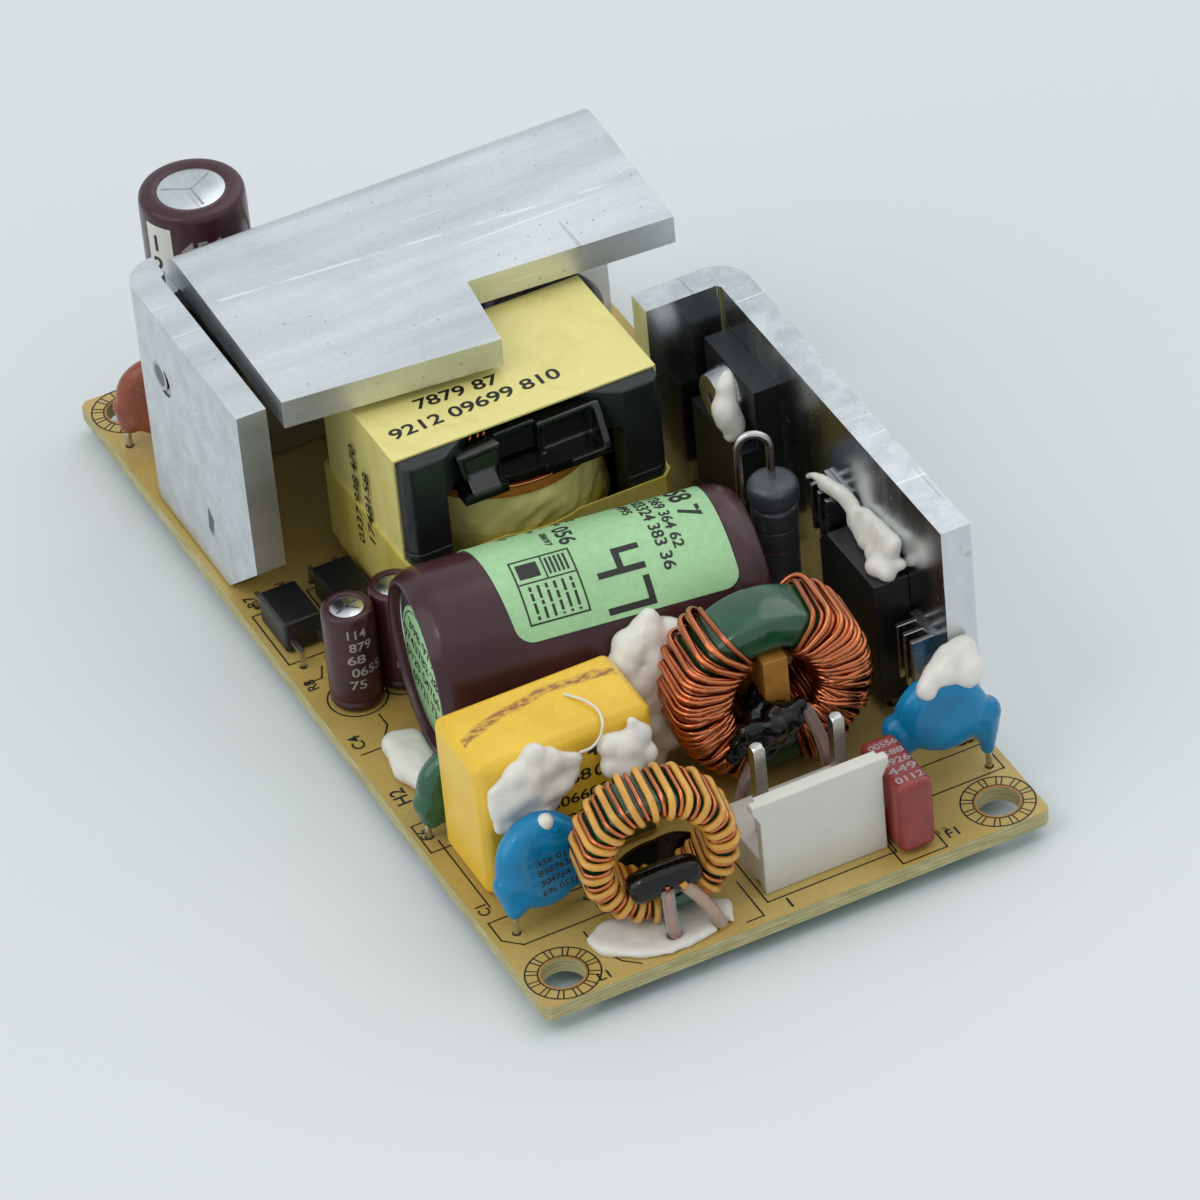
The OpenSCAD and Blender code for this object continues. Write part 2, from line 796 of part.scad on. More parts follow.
module transformer_bobbin() {
    color(bobbin_colour)
        at_transformer(0) {
            difference() {
                union() {
                    for (z = [flange_low, flange_high])
                        translate([0, 0, z])
                            linear_extrude(flange_t)
                                intersection() {
                                    circle(r = window_r - bobbin_gap);
                                    core_and_winding();
                                }
                    translate([0, 0, flange_low])
                        cylinder(h = flange_high - flange_low, d = post_d + 2 * (bobbin_gap + bobbin_wall));
                    // Aprons from the lower flange down through the notches to the base
                    for (sy = [-1, 1])
                        translate([-apron_w / 2, sy * (core_d - apron_t) / 2 - apron_t / 2, core_z - tape_t])
                            cube([apron_w, apron_t, flange_low - core_z + tape_t]);
                }
                translate([0, 0, flange_low - eps])
                    cylinder(h = core_top, d = post_d + 2 * bobbin_gap);
            }
            bobbin_ear(-7.8, -3.4, 3, 4.4);
            bobbin_ear(1, 7.3, 2.2, 4.2);
            // Base under the core, with a pin rail at each end
            difference() {
                union() {
                    translate([-rail_w / 2, -rail_y, board_t])
                        cube([rail_w, 2 * rail_y, core_z - tape_t - board_t]);
                    for (sy = [-1, 1])
                        translate([-rail_w / 2, sy * rail_y - rail_t / 2, board_t])
                            cube([rail_w, rail_t, rail_h]);
                }
                for (p = transformer_leads_at)
                    translate([p[0] - transformer_at[0], p[1] - transformer_at[1], 0])
                        cylinder(h = board_t + rail_h - pin_cover, d = transformer_pin_d);
            }
        }
}

module transformer_pins() {
    color(steel_colour)
        straight_leads(transformer_leads_at, transformer_pin_d, board_t + rail_h - pin_cover);
}

module transformer_winding() {
    color(tape_colour)
        at_transformer(flange_low + flange_t)
            difference() {
                cylinder(h = flange_high - flange_low - flange_t, r = winding_r);
                translate([0, 0, -eps])
                    cylinder(h = core_top, d = post_d + 2 * (bobbin_gap + bobbin_wall));
            }
}

// Loop over the core's top and under its base, and a belt round the lower half
module transformer_tape() {
    color(tape_colour)
        at_transformer(0) {
            difference() {
                translate([-core_w / 2 - tape_t, -tape_loop_w / 2, core_z - tape_t])
                    cube([core_w + 2 * tape_t, tape_loop_w, 2 * (core_half + tape_t)]);
                translate([-core_w / 2, -tape_loop_w, core_z])
                    cube([core_w, 2 * tape_loop_w, 2 * core_half]);
            }
            translate([0, 0, belt_z])
                linear_extrude(belt_h)
                    difference() {
                        union() {
                            cut_rect(core_w + 4 * tape_t, core_d + 2 * tape_t, core_chamfer + tape_t);
                            circle(r = winding_r + tape_t);
                        }
                        core_and_winding();
                    }
        }
}

// ---- Bulk capacitor ----

// The can's own frame: its axis along X, its middle at the origin
module at_bulk() {
    translate([bulk_at[0], bulk_at[1], bulk_z])
        rotate([0, 0, bulk_yaw])
            children();
}

module bulk_capacitor() {
    half = bulk_len / 2;
    color(sleeve_colour)
        at_bulk()
            rotate([0, 90, 0])
                rotate_extrude($fn = 96)
                    polygon([
                        [0, -half + bulk_recess], [bulk_recess_r, -half + bulk_recess], [bulk_recess_r, -half],
                        [bulk_r - bulk_edge_r, -half], [bulk_r - 0.3 * bulk_edge_r, -half + 0.3 * bulk_edge_r],
                        [bulk_r, -half + bulk_edge_r], [bulk_r, half - bulk_groove - 0.8],
                        [bulk_r - 0.5, half - bulk_groove], [bulk_r, half - bulk_groove + 0.8],
                        [bulk_r, half - bulk_edge_r], [bulk_r - 0.3 * bulk_edge_r, half - 0.3 * bulk_edge_r],
                        [bulk_r - bulk_edge_r, half], [bulk_recess_r - 0.5, half], [bulk_recess_r - 1, half - 0.5],
                        [0, half - 0.5],
                    ]);
}

// Bare end of the can inside the sleeve's rim
module bulk_capacitor_end() {
    color(steel_colour)
        at_bulk()
            translate([-bulk_len / 2 + bulk_recess - 0.3, 0, 0])
                rotate([0, 90, 0])
                    cylinder(h = 0.3, r = bulk_recess_r - 0.05);
}

module end_sticker() {
    color(label_colour)
        at_bulk()
            translate([-bulk_len / 2 + bulk_recess - 0.3 - label_t, 0, -sticker_drop])
                rotate([0, 90, 0])
                    cylinder(h = label_t, r = sticker_r);
}

// Label wrapped over the can
module rating_label() {
    color(label_colour)
        at_bulk()
            translate([label_start, 0, 0])
                rotate([0, 90, 0])
                    rotate([0, 0, 180 - label_back_angle])
                        rotate_extrude(angle = label_front_angle + label_back_angle, $fn = 96)
                            translate([bulk_r + label_gap, 0])
                                square([label_t, label_end - label_start]);
}

// ---- Box and disc capacitors ----

module x_capacitor() {
    color(x_cap_colour)
        translate([x_cap_at[0], x_cap_at[1], board_t])
            soft_box(x_cap_box, x_cap_edge);
}

module line_y_capacitor() {
    color(disc_blue)
        lead_disc(line_disc);
}

module neutral_y_capacitor() {
    color(disc_blue)
        lead_disc(neutral_disc);
}

module rear_disc_capacitor() {
    color(fuse_colour)
        lead_disc(rear_disc);
}

module thermistor() {
    color(core_green)
        lead_disc(thermistor_disc);
}

module disc_leads() {
    color(steel_colour)
        difference() {
            straight_leads(disc_leads_at, disc_lead_d, disc_lobe_z + 0.5);
            for (disc = [line_disc, neutral_disc, rear_disc, thermistor_disc])
                lead_disc(disc);
        }
}

// ---- Chokes ----

module small_choke_core() {
    color(core_green)
        stand_ring(small_at, small_yaw)
            ring_core(small_core, 0.4);
}

module small_choke_yellow_winding() {
    color(yellow_wire_colour)
        stand_ring(small_at, small_yaw)
            turns(small_core, yellow_wire, small_turns, small_first, small_last);
}

// Thin wire between the yellow turns, its inner legs nearer the ring's axis
module small_choke_copper_winding() {
    color(copper_colour)
        stand_ring(small_at, small_yaw)
            turns(
                small_core, copper_wire, small_turns - 1,
                small_first + small_step / 2, small_last - small_step / 2, 0, yellow_wire
            );
}

// Glossy shrink sleeve across the bore, over the wires' ends
module small_choke_epoxy() {
    color(plastic_black)
        difference() {
            stand_ring(small_at, small_yaw)
                translate(small_epoxy_at) {
                    rotate([0, 90, 0])
                        cylinder(h = 2 * small_epoxy_reach, r = small_epoxy_r, center = true);
                    for (s = [-1, 1])
                        translate([s * small_epoxy_reach, 0, 0])
                            sphere(r = small_epoxy_r);
                }
            for (ends = small_sleeves)
                rod(ends[0], ends[1], choke_sleeve_d);
        }
}

module small_choke_sleeves() {
    color(nylon_colour)
        for (ends = small_sleeves)
            rod(ends[0], ends[1], choke_sleeve_d);
}

module big_choke_core() {
    color(core_green)
        stand_ring(big_at, big_yaw)
            ring_core(big_core, 0.6);
}

// Two layers of turns on one side of the ring
module big_winding(from, to) {
    inset = (to - from) / (2 * big_turns);
    stand_ring(big_at, big_yaw) {
        turns(big_core, big_wire, big_turns, from, to);
        turns(big_core, big_wire, big_outer_turns, from + inset, to - inset, big_wire + turn_gap);
    }
}

module big_choke_left_winding() {
    color(copper_colour)
        big_winding(90 + big_open, 270 - big_foot_open);
}

module big_choke_right_winding() {
    color(copper_colour)
        big_winding(90 - big_open, -90 + big_foot_open);
}

// Card across the bore between the two windings
module big_choke_separator() {
    color("#b9802f")
        stand_ring(big_at, big_yaw)
            translate([-separator_t / 2, -separator_low, -separator_depth / 2])
                cube([separator_t, separator_low + separator_high, separator_depth]);
}

// Lump of potting in front of the bore and round the card's foot
module big_choke_epoxy() {
    color(plastic_black)
        stand_ring(big_at, big_yaw)
            difference() {
                hull()
                    for (lump = big_epoxy_lumps)
                        translate([lump[0], lump[1], lump[2]])
                            sphere(r = lump[3], $fn = 20);
                translate([-separator_t / 2, -separator_low, -separator_depth / 2])
                    cube([separator_t, separator_low + separator_high, separator_depth]);
                rotate_extrude()
                    core_section([big_core[0] - big_lift, big_core[1] + big_lift, big_core[2] + 2 * big_lift], 0);
            }
}

module big_choke_sleeves() {
    color(nylon_colour)
        for (ends = big_sleeves)
            rod(ends[0], ends[1], choke_sleeve_d);
}

// ---- Connectors ----

module input_connector_housing() {
    color(nylon_colour)
        translate([input_at[0], input_at[1], 0])
            header_housing(2 * pin_pitch, [-pin_pitch, pin_pitch]);
}

module input_connector_pins() {
    color(steel_colour)
        header_pins(input_pins_at);
}

module output_connector_housing() {
    color(nylon_colour)
        translate([output_at[0], output_at[1], 0])
            rotate([0, 0, 180])
                header_housing((output_pins - 1) * pin_pitch, [for (p = output_pins_at) p[0] - output_at[0]]);
}

module output_connector_pins() {
    color(steel_colour)
        header_pins(output_pins_at);
}

// ---- Fuse and snubber resistor ----

module fuse() {
    color(fuse_colour)
        translate([fuse_at[0], fuse_at[1], fuse_z])
            soft_box(fuse_box, fuse_edge);
}

module snubber_resistor() {
    cap = 3.2;
    ease = 0.5;
    color("#56585e")
        translate([resistor_at[0], resistor_at[1], 0])
            rotate_extrude()
                polygon([
                    [0, resistor_z], [resistor_end_r - 2 * ease, resistor_z],
                    [resistor_end_r, resistor_z + 2 * ease], [resistor_end_r, resistor_z + cap],
                    [resistor_r, resistor_z + cap + ease], [resistor_r, resistor_top - cap - ease],
                    [resistor_end_r, resistor_top - cap], [resistor_end_r, resistor_top - 2 * ease],
                    [resistor_end_r - 2 * ease, resistor_top], [0, resistor_top],
                ]);
}

// Lead under the body, and the hairpin from its top down to the board
module snubber_resistor_lead() {
    across = resistor_bend_at - resistor_at;
    loop_r = norm(across) / 2;
    bend_z = resistor_loop_top - loop_r - resistor_lead_d / 2;
    color(steel_colour) {
        straight_leads([resistor_at], resistor_lead_d, resistor_z);
        straight_leads([resistor_bend_at], resistor_lead_d, bend_z + eps);
        translate([resistor_at[0], resistor_at[1], resistor_top])
            cylinder(h = bend_z - resistor_top + eps, d = resistor_lead_d);
        translate([resistor_at[0] + across[0] / 2, resistor_at[1] + across[1] / 2, bend_z])
            rotate([90, 0, atan2(across[1], across[0])])
                rotate_extrude(angle = 180)
                    translate([loop_r, 0])
                        circle(d = resistor_lead_d);
    }
}

// ---- Semiconductors on the heatsinks ----

module at_input_wall() {
    translate([input_left, transistor_y, 0])
        rotate([0, 0, 180])
            children();
}

module at_output_wall() {
    translate([output_left + sheet_t, output_rectifier_y, 0])
        children();
}

module switching_transistor() {
    color(plastic_black)
        at_input_wall()
            wall_package();
}

module transistor_screw() {
    color(steel_colour)
        at_input_wall()
            wall_screw();
}

module output_rectifier() {
    color(plastic_black)
        at_output_wall()
            wall_package();
}

module output_rectifier_screw() {
    color(steel_colour)
        at_output_wall()
            wall_screw();
}

module bridge_rectifier() {
    color(plastic_black)
        translate([input_left - bridge_t, bridge_y, bridge_z])
            rotate([90, 0, 90])
                linear_extrude(bridge_t)
                    polygon([
                        [-bridge_w / 2, 0], [bridge_w / 2, 0], [bridge_w / 2, bridge_h - bridge_cut],
                        [bridge_w / 2 - bridge_cut, bridge_h], [-bridge_w / 2, bridge_h],
                    ]);
}

// Spring strip hooked to the wall at both ends of the bridge
module rectifier_clip() {
    color(steel_colour) {
        clip_foot([input_left, bridge_y + bridge_w / 2 + 0.4, clip_rear_z], clip_rear_h);
        clip_foot([input_left, bridge_y - bridge_w / 2 - 0.4 - clip_w, clip_front_z], clip_front_h);
    }
}

// Bent strip standing out from the wall, with two ribs
module clip_foot(place, h) {
    translate(place) {
        translate([-clip_t, 0, 0])
            cube([clip_t, clip_w, h]);
        translate([-clip_out, 0, 0])
            cube([clip_out, clip_t, h]);
        for (k = [1:2])
            translate([-clip_out, k * clip_w / 3, 0])
                cube([clip_out - clip_t, clip_t, h]);
    }
}

module semiconductor_leads() {
    color(steel_colour) {
        wall_leads(concat(transistor_leads_at, output_rectifier_leads_at));
        for (p = bridge_leads_at)
            translate([p[0] - package_lead_t / 2, p[1] - package_lead_w / 2, 0])
                cube([package_lead_t, package_lead_w, bridge_z]);
        for (centre = opto_at)
            opto_wide_leads(centre);
    }
}

// Leads bent out to the wide row and down into the board
module opto_wide_leads(centre) {
    reach = (opto_row - opto_size[1]) / 2 + opto_lead_w / 2;
    for (sx = [-1, 1], sy = [-1, 1])
        translate([centre[0] + sx * opto_pitch / 2, centre[1] + sy * opto_row / 2, 0]) {
            translate([-opto_lead_w / 2, -opto_lead_w / 2 * 0.5, 0])
                cube([opto_lead_w, opto_lead_w * 0.5, opto_lead_z]);
            translate([-opto_lead_w / 2, sy > 0 ? opto_lead_w / 4 - reach + opto_lead_w / 4 : -opto_lead_w / 4,
                opto_lead_z - 0.3])
                cube([opto_lead_w, reach - opto_lead_w / 4, 0.3]);
        }
}

module opto_body(centre) {
    color(plastic_black)
        translate([centre[0], centre[1], opto_z])
            soft_box(opto_size, 0.25);
}

module optocoupler_left() {
    opto_body(opto_at[0]);
}

module optocoupler_right() {
    opto_body(opto_at[1]);
}

// ---- Electrolytic capacitors and output choke ----

module control_capacitor_front() {
    color(sleeve_colour)
        translate([control_caps_at[0][0], control_caps_at[0][1], 0])
            standing_can(control_cap_r, board_t, control_cap_top);
}

module control_capacitor_rear() {
    color(sleeve_colour)
        translate([control_caps_at[1][0], control_caps_at[1][1], 0])
            standing_can(control_cap_r, board_t, control_cap_top);
}

module output_capacitor_tall() {
    color(sleeve_colour)
        translate([tall_cap_at[0], tall_cap_at[1], 0])
            standing_can(tall_cap_r, board_t, tall_cap_top);
}

module output_capacitor_short() {
    color(sleeve_colour)
        translate([short_cap_at[0], short_cap_at[1], 0])
            standing_can(short_cap_r, board_t, short_cap_top);
}

// Sleeved drum choke
module output_choke() {
    edge = 0.6;
    color("#20242b")
        translate([output_choke_at[0], output_choke_at[1], 0])
            rotate_extrude()
                polygon([
                    [0, board_t], [output_choke_r, board_t], [output_choke_r, output_choke_top - edge],
                    [output_choke_r - edge, output_choke_top], [output_choke_r - 2 * edge, output_choke_top],
                    [output_choke_r - 3 * edge, output_choke_top - edge], [0, output_choke_top - edge],
                ]);
}

// ---- Leads ----

// The bulk capacitor's leads leave its end and bend down; the others are straight
module capacitor_leads() {
    lead_bend_r = bulk_lead_out - 0.3;
    end_x = bulk_len / 2 - 0.5;
    color(steel_colour) {
        straight_leads(pair_at(x_cap_at, x_cap_pitch), x_cap_lead_d, board_t);
        straight_leads(can_leads_at, can_lead_d, board_t);
        straight_leads(pair_at(fuse_at, fuse_pitch, 90), fuse_lead_d, fuse_z);
        straight_leads(bulk_leads_at, bulk_lead_d, bulk_z - lead_bend_r + eps);
        at_bulk()
            for (s = [-1, 1])
                translate([bulk_len / 2 + bulk_lead_out - lead_bend_r, s * bulk_pitch / 2, 0]) {
                    translate([end_x - bulk_len / 2 - bulk_lead_out + lead_bend_r, 0, 0])
                        rotate([0, 90, 0])
                            cylinder(h = bulk_len / 2 + bulk_lead_out - lead_bend_r - end_x + eps, d = bulk_lead_d);
                    translate([0, 0, -lead_bend_r])
                        rotate([90, 0, 0])
                            rotate_extrude(angle = 90)
                                translate([lead_bend_r, 0])
                                    circle(d = bulk_lead_d);
                }
    }
}

module wound_part_leads() {
    sleeve_foot_z = board_t + 0.3;
    small_foot_z = small_at[2] - small_core[1] - yellow_wire - 2 * turn_gap;
    big_foot_z = big_at[2] - big_core[1] - big_lift;
    color(copper_colour) {
        straight_leads([for (ends = small_sleeves) foot(ends)], small_lead_d, sleeve_foot_z);
        straight_leads(small_rear_leads, small_lead_d, small_foot_z);
        straight_leads([for (ends = big_sleeves) foot(ends)], big_lead_d, sleeve_foot_z);
        straight_leads(big_rear_leads, big_lead_d, big_foot_z);
        straight_leads(pair_at(output_choke_at, output_choke_pitch), big_lead_d, board_t);
    }
}

// ---- Adhesive ----

module lumps(points, from_x = 0) {
    hull()
        for (p = points)
            translate([from_x + p[0], p[1], p[2]])
                sphere(r = p[3], $fn = 16);
}

// Space taken by a ring choke and its winding
module choke_space(place, yaw, core, lift) {
    stand_ring(place, yaw)
        rotate_extrude()
            core_section([core[0] - lift, core[1] + lift, core[2] + 2 * lift], 0);
}

module bulk_space() {
    at_bulk()
        rotate([0, 90, 0])
            cylinder(h = bulk_len + 2 * silicone_gap, r = bulk_r + silicone_gap, center = true, $fn = 96);
}

module silicone_adhesive() {
    color(silicone_colour) {
        difference() {
            lumps(bulk_foot_lumps);
            bulk_space();
        }
        difference() {
            lumps(mid_lumps);
            bulk_space();
            choke_space(big_at, big_yaw, big_core, big_lift);
            translate([x_cap_at[0], x_cap_at[1], 0])
                linear_extrude(2 * x_cap_box[2])
                    square([x_cap_box[0], x_cap_box[1]] + 2 * [silicone_gap, silicone_gap], center = true);
        }
        difference() {
            lumps(transistor_lumps, input_left);
            at_input_wall() {
                translate([-1, -package_w, 0])
                    cube([package_tab_t + 1, 2 * package_w, 2 * screw_z]);
                translate([0, -package_w, 0])
                    cube([package_t + silicone_gap, 2 * package_w, package_z + package_step + silicone_gap]);
                wall_screw();
            }
        }
        difference() {
            lumps(line_disc_lumps, line_disc[0][0]);
            lead_disc(line_disc);
            translate([input_left - 1, input_front, 0])
                cube([sheet_t + 2, 5, input_top]);
        }
        difference() {
            union() {
                lumps(bridge_lumps, input_left);
                lumps(strand_lumps, input_left);
            }
            translate([input_left - 2 * bridge_t, bridge_y - bridge_w, 0])
                cube([2 * bridge_t, 2 * bridge_w, bridge_z + bridge_h]);
            translate([input_left, input_front, 0])
                cube([sheet_t, input_len, input_top]);
        }
        // Foot of the small choke
        difference() {
            translate([0, 0, board_t])
                linear_extrude(choke_foot_t)
                    polygon(choke_foot_patch);
            for (ends = small_sleeves)
                rod(ends[0], ends[1] + (ends[1] - ends[0]), choke_sleeve_d + 2 * silicone_gap);
            choke_space(small_at, small_yaw, small_core, yellow_wire + 3 * turn_gap);
            translate([mounts[0][0], mounts[0][1], 0])
                cylinder(h = 2 * board_t + choke_foot_t, d = mount_d);
        }
        // Patch on the X capacitor's front
        translate([0, x_cap_at[1] - x_cap_box[1] / 2, 0])
            rotate([90, 0, 0])
                linear_extrude(x_cap_patch_t)
                    polygon(x_cap_patch);
    }
}

circuit_board();
output_heatsink();
input_heatsink();
transformer_core_upper();
transformer_core_lower();
transformer_bobbin();
transformer_winding();
transformer_tape();
transformer_pins();
bulk_capacitor();
bulk_capacitor_end();
rating_label();
end_sticker();
x_capacitor();
line_y_capacitor();
neutral_y_capacitor();
rear_disc_capacitor();
thermistor();
small_choke_core();
small_choke_yellow_winding();
small_choke_copper_winding();
small_choke_epoxy();
small_choke_sleeves();
big_choke_core();
big_choke_left_winding();
big_choke_right_winding();
big_choke_separator();
big_choke_epoxy();
big_choke_sleeves();
input_connector_housing();
input_connector_pins();
output_connector_housing();
output_connector_pins();
fuse();
snubber_resistor();
snubber_resistor_lead();
switching_transistor();
transistor_screw();
bridge_rectifier();
rectifier_clip();
output_rectifier();
output_rectifier_screw();
control_capacitor_front();
control_capacitor_rear();
optocoupler_left();
optocoupler_right();
output_capacitor_tall();
output_capacitor_short();
output_choke();
capacitor_leads();
disc_leads();
semiconductor_leads();
wound_part_leads();
silicone_adhesive();
solder_joints();
control_chips();
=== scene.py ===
import math
import random

import bmesh
import bpy
from mathutils import Matrix, Vector, noise


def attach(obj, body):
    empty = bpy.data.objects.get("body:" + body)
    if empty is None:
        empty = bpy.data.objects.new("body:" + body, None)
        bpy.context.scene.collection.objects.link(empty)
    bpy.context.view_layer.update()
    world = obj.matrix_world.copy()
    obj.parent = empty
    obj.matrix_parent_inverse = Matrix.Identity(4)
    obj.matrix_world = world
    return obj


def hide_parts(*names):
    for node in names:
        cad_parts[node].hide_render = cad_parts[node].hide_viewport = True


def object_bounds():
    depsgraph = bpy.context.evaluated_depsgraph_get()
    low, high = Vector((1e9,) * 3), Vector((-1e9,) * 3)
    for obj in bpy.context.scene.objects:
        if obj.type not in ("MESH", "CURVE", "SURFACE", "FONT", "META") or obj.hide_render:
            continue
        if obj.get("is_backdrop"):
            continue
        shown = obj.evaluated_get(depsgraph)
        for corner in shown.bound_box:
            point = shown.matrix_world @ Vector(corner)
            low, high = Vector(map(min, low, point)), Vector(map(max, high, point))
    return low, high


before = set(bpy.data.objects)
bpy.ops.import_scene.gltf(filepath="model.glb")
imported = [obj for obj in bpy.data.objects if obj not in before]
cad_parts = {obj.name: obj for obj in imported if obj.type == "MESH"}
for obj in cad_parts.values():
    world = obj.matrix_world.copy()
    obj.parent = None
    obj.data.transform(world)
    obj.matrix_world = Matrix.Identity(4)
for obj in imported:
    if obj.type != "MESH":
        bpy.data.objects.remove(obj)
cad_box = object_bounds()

bl_info = {
    "name": "Open Frame Power Supply",
    "version": (1, 0, 0),
    "blender": (4, 5, 0),
    "location": "View3D > Sidebar > Power supply",
    "description": "Builds the visible parts of an open frame power supply round its solid model",
    "category": "Add Mesh",
}

MM = 0.001
BODY = "root"
FULL_TURN = 2 * math.pi
QUARTER = math.pi / 2
# Edges of a solid that are sharper than this get their roll
SHARP_ANGLE = math.radians(30)
# Solids' points closer than this, in metres, are one point
SAME_POINT = 1e-6

# Heights over the board's underside, in millimetres
BOARD_TOP = 1.6
PRINT_Z = BOARD_TOP + 0.012
FLOOR_Z = -1.7
FLOOR_RADIUS = 4000


# ---- Colours ----

def srgb(code):
    """Linear colour of a hexadecimal display colour."""
    values = [int(code[i:i + 2], 16) / 255 for i in (0, 2, 4)]
    return tuple(v / 12.92 if v < 0.04045 else ((v + 0.055) / 1.055) ** 2.4
                 for v in values) + (1.0,)


def shade(colour, factor):
    """The colour made lighter or darker, up to white."""
    return tuple(min(1.0, c * factor) for c in colour[:3]) + (1.0,)


# ---- Node graphs ----

class Number:
    """A number socket: an expression on it adds Math nodes."""

    def __init__(self, graph, socket):
        self.graph, self.socket = graph, socket

    def math(self, operation, *values):
        node = self.graph.node("ShaderNodeMath", {"operation": operation}, dict(enumerate(values)))
        return Number(self.graph, node.outputs[0])

    def __add__(self, other):
        return self.math("ADD", self, other)

    __radd__ = __add__

    def __sub__(self, other):
        return self.math("SUBTRACT", self, other)

    def __rsub__(self, other):
        return self.math("SUBTRACT", other, self)

    def __mul__(self, other):
        return self.math("MULTIPLY", self, other)

    __rmul__ = __mul__

    def __truediv__(self, other):
        return self.math("DIVIDE", self, other)

    def __gt__(self, other):
        return self.math("GREATER_THAN", self, other)

    def __lt__(self, other):
        return self.math("LESS_THAN", self, other)

    def __abs__(self):
        return self.math("ABSOLUTE", self)

    def power(self, other):
        return self.math("POWER", self, other)

    def wave(self):
        return self.math("SINE", self)

    def at_most(self, other):
        return self.math("MINIMUM", self, other)

    def at_least(self, other):
        return self.math("MAXIMUM", self, other)

    def ramp(self, low, high):
        """0 below low and 1 above high, smooth between them."""
        node = self.graph.node("ShaderNodeMapRange", {"interpolation_type": "SMOOTHSTEP"},
                               {"Value": self, "From Min": low, "From Max": high})
        return Number(self.graph, node.outputs[0])


class Graph:
    """A node tree under construction."""

    tree = None

    def node(self, kind, settings=None, inputs=None):
        made = self.tree.nodes.new(kind)
        for key, value in (settings or {}).items():
            setattr(made, key, value)
        for key, value in (inputs or {}).items():
            if isinstance(value, Number):
                value = value.socket
            if isinstance(value, bpy.types.NodeSocket):
                self.tree.links.new(value, made.inputs[key])
            else:
                made.inputs[key].default_value = value
        return made


class Finish(Graph):
    """A material under construction, its patterns on Object coordinates."""

    def __init__(self, name):
        self.material = bpy.data.materials.new(name)
        self.material.use_nodes = True
        self.tree = self.material.node_tree
        self.tree.nodes.clear()
        self.place = self.node("ShaderNodeTexCoord").outputs["Object"]
        parts = self.node("ShaderNodeSeparateXYZ", None, {0: self.place})
        self.x, self.y, self.z = (Number(self, parts.outputs[i]) for i in range(3))

    def mapped(self, stretch, turn):
        if not stretch:
            return self.place
        return self.node("ShaderNodeMapping", None, {
            "Vector": self.place, "Rotation": turn, "Scale": stretch}).outputs[0]

    def noise(self, scale, detail, stretch=None, turn=(0, 0, 0), distortion=0.0):
        node = self.node("ShaderNodeTexNoise", None, {
            "Vector": self.mapped(stretch, turn), "Scale": scale, "Detail": detail,
            "Distortion": distortion})
        return Number(self, node.outputs["Fac"])

    def cells(self, scale, feature="F1", stretch=None):
        node = self.node("ShaderNodeTexVoronoi", {"feature": feature}, {
            "Vector": self.mapped(stretch, (0, 0, 0)), "Scale": scale})
        return Number(self, node.outputs["Distance"])

    def mix(self, factor, first, second):
        node = self.node("ShaderNodeMix", {"data_type": "RGBA"},
                         {0: factor, 6: first, 7: second})
        return node.outputs[2]

    def surface(self, colour, rough, height, depth, sockets=None, metallic=0.0):
        """Ends the material; depth is the relief of a height of 1, in millimetres."""
        bump = self.node("ShaderNodeBump", None, {
            "Strength": 1.0, "Distance": depth * MM, "Height": height})
        shader = self.node("ShaderNodeBsdfPrincipled", None, {
            "Base Color": colour, "Roughness": rough, "Metallic": metallic,
            "Normal": bump.outputs[0], **(sockets or {})})
        self.node("ShaderNodeOutputMaterial", None, {"Surface": shader.outputs[0]})
        return self.material


def coat(weight, roughness=None, specular=None):
    """Sockets of a clear coat, and of the mirror light of what it covers."""
    sockets = {"Coat Weight": weight}
    if roughness is not None:
        sockets["Coat Roughness"] = roughness
    if specular is not None:
        sockets["Specular IOR Level"] = specular
    return sockets


def grained(name, code, rough, patch, tint, grain, depth, wear, sockets=None, metallic=0.0):
    """Plain finish with soft colour patches, a fine grain and uneven gloss.

    The patch and the grain are noise scales, the tint is how far the colour strays, and
    the wear is how far the roughness does."""
    f = Finish(name)
    colour = srgb(code)
    patches = f.noise(patch, 3)
    fine = f.noise(grain, 3)
    tone = f.mix((patches * 0.75 + fine * 0.25).ramp(0.3, 0.7),
                 shade(colour, 1 - tint), shade(colour, 1 + tint))
    gloss = rough + (patches - 0.5) * wear + (fine - 0.5) * wear
    return f.surface(tone, gloss, fine, depth, sockets, metallic)


def speckled(name, code, spot, rough, scale, amount, depth, sockets=None):
    """Dipped or moulded finish with fine spots of a second colour and a wavy skin."""
    f = Finish(name)
    colour = srgb(code)
    wave = f.noise(scale, 3)
    dots = f.noise(scale * 9, 2).ramp(1 - amount, 1.02 - amount)
    tone = f.mix(wave.ramp(0.3, 0.7), shade(colour, 0.86), shade(colour, 1.14))
    return f.surface(f.mix(dots * 0.6, tone, srgb(spot)), rough + (wave - 0.5) * 0.14,
                     wave, depth, sockets)


def enamelled(name, code, metallic, rough, lacquer):
    """Enamelled wire: the lacquer's tone changes a little along it."""
    f = Finish(name)
    colour = srgb(code)
    tone = f.noise(320, 3)
    fleck = f.noise(2600, 2)
    mixed = f.mix((tone * 0.7 + fleck * 0.3).ramp(0.28, 0.72),
                  shade(colour, 0.78), shade(colour, 1.18))
    mixed = f.mix(f.noise(900, 2).ramp(0.62, 0.8), mixed, srgb(lacquer))
    return f.surface(mixed, rough + (fleck - 0.5) * 0.12, fleck, 0.004, coat(0.6, 0.12),
                     metallic)


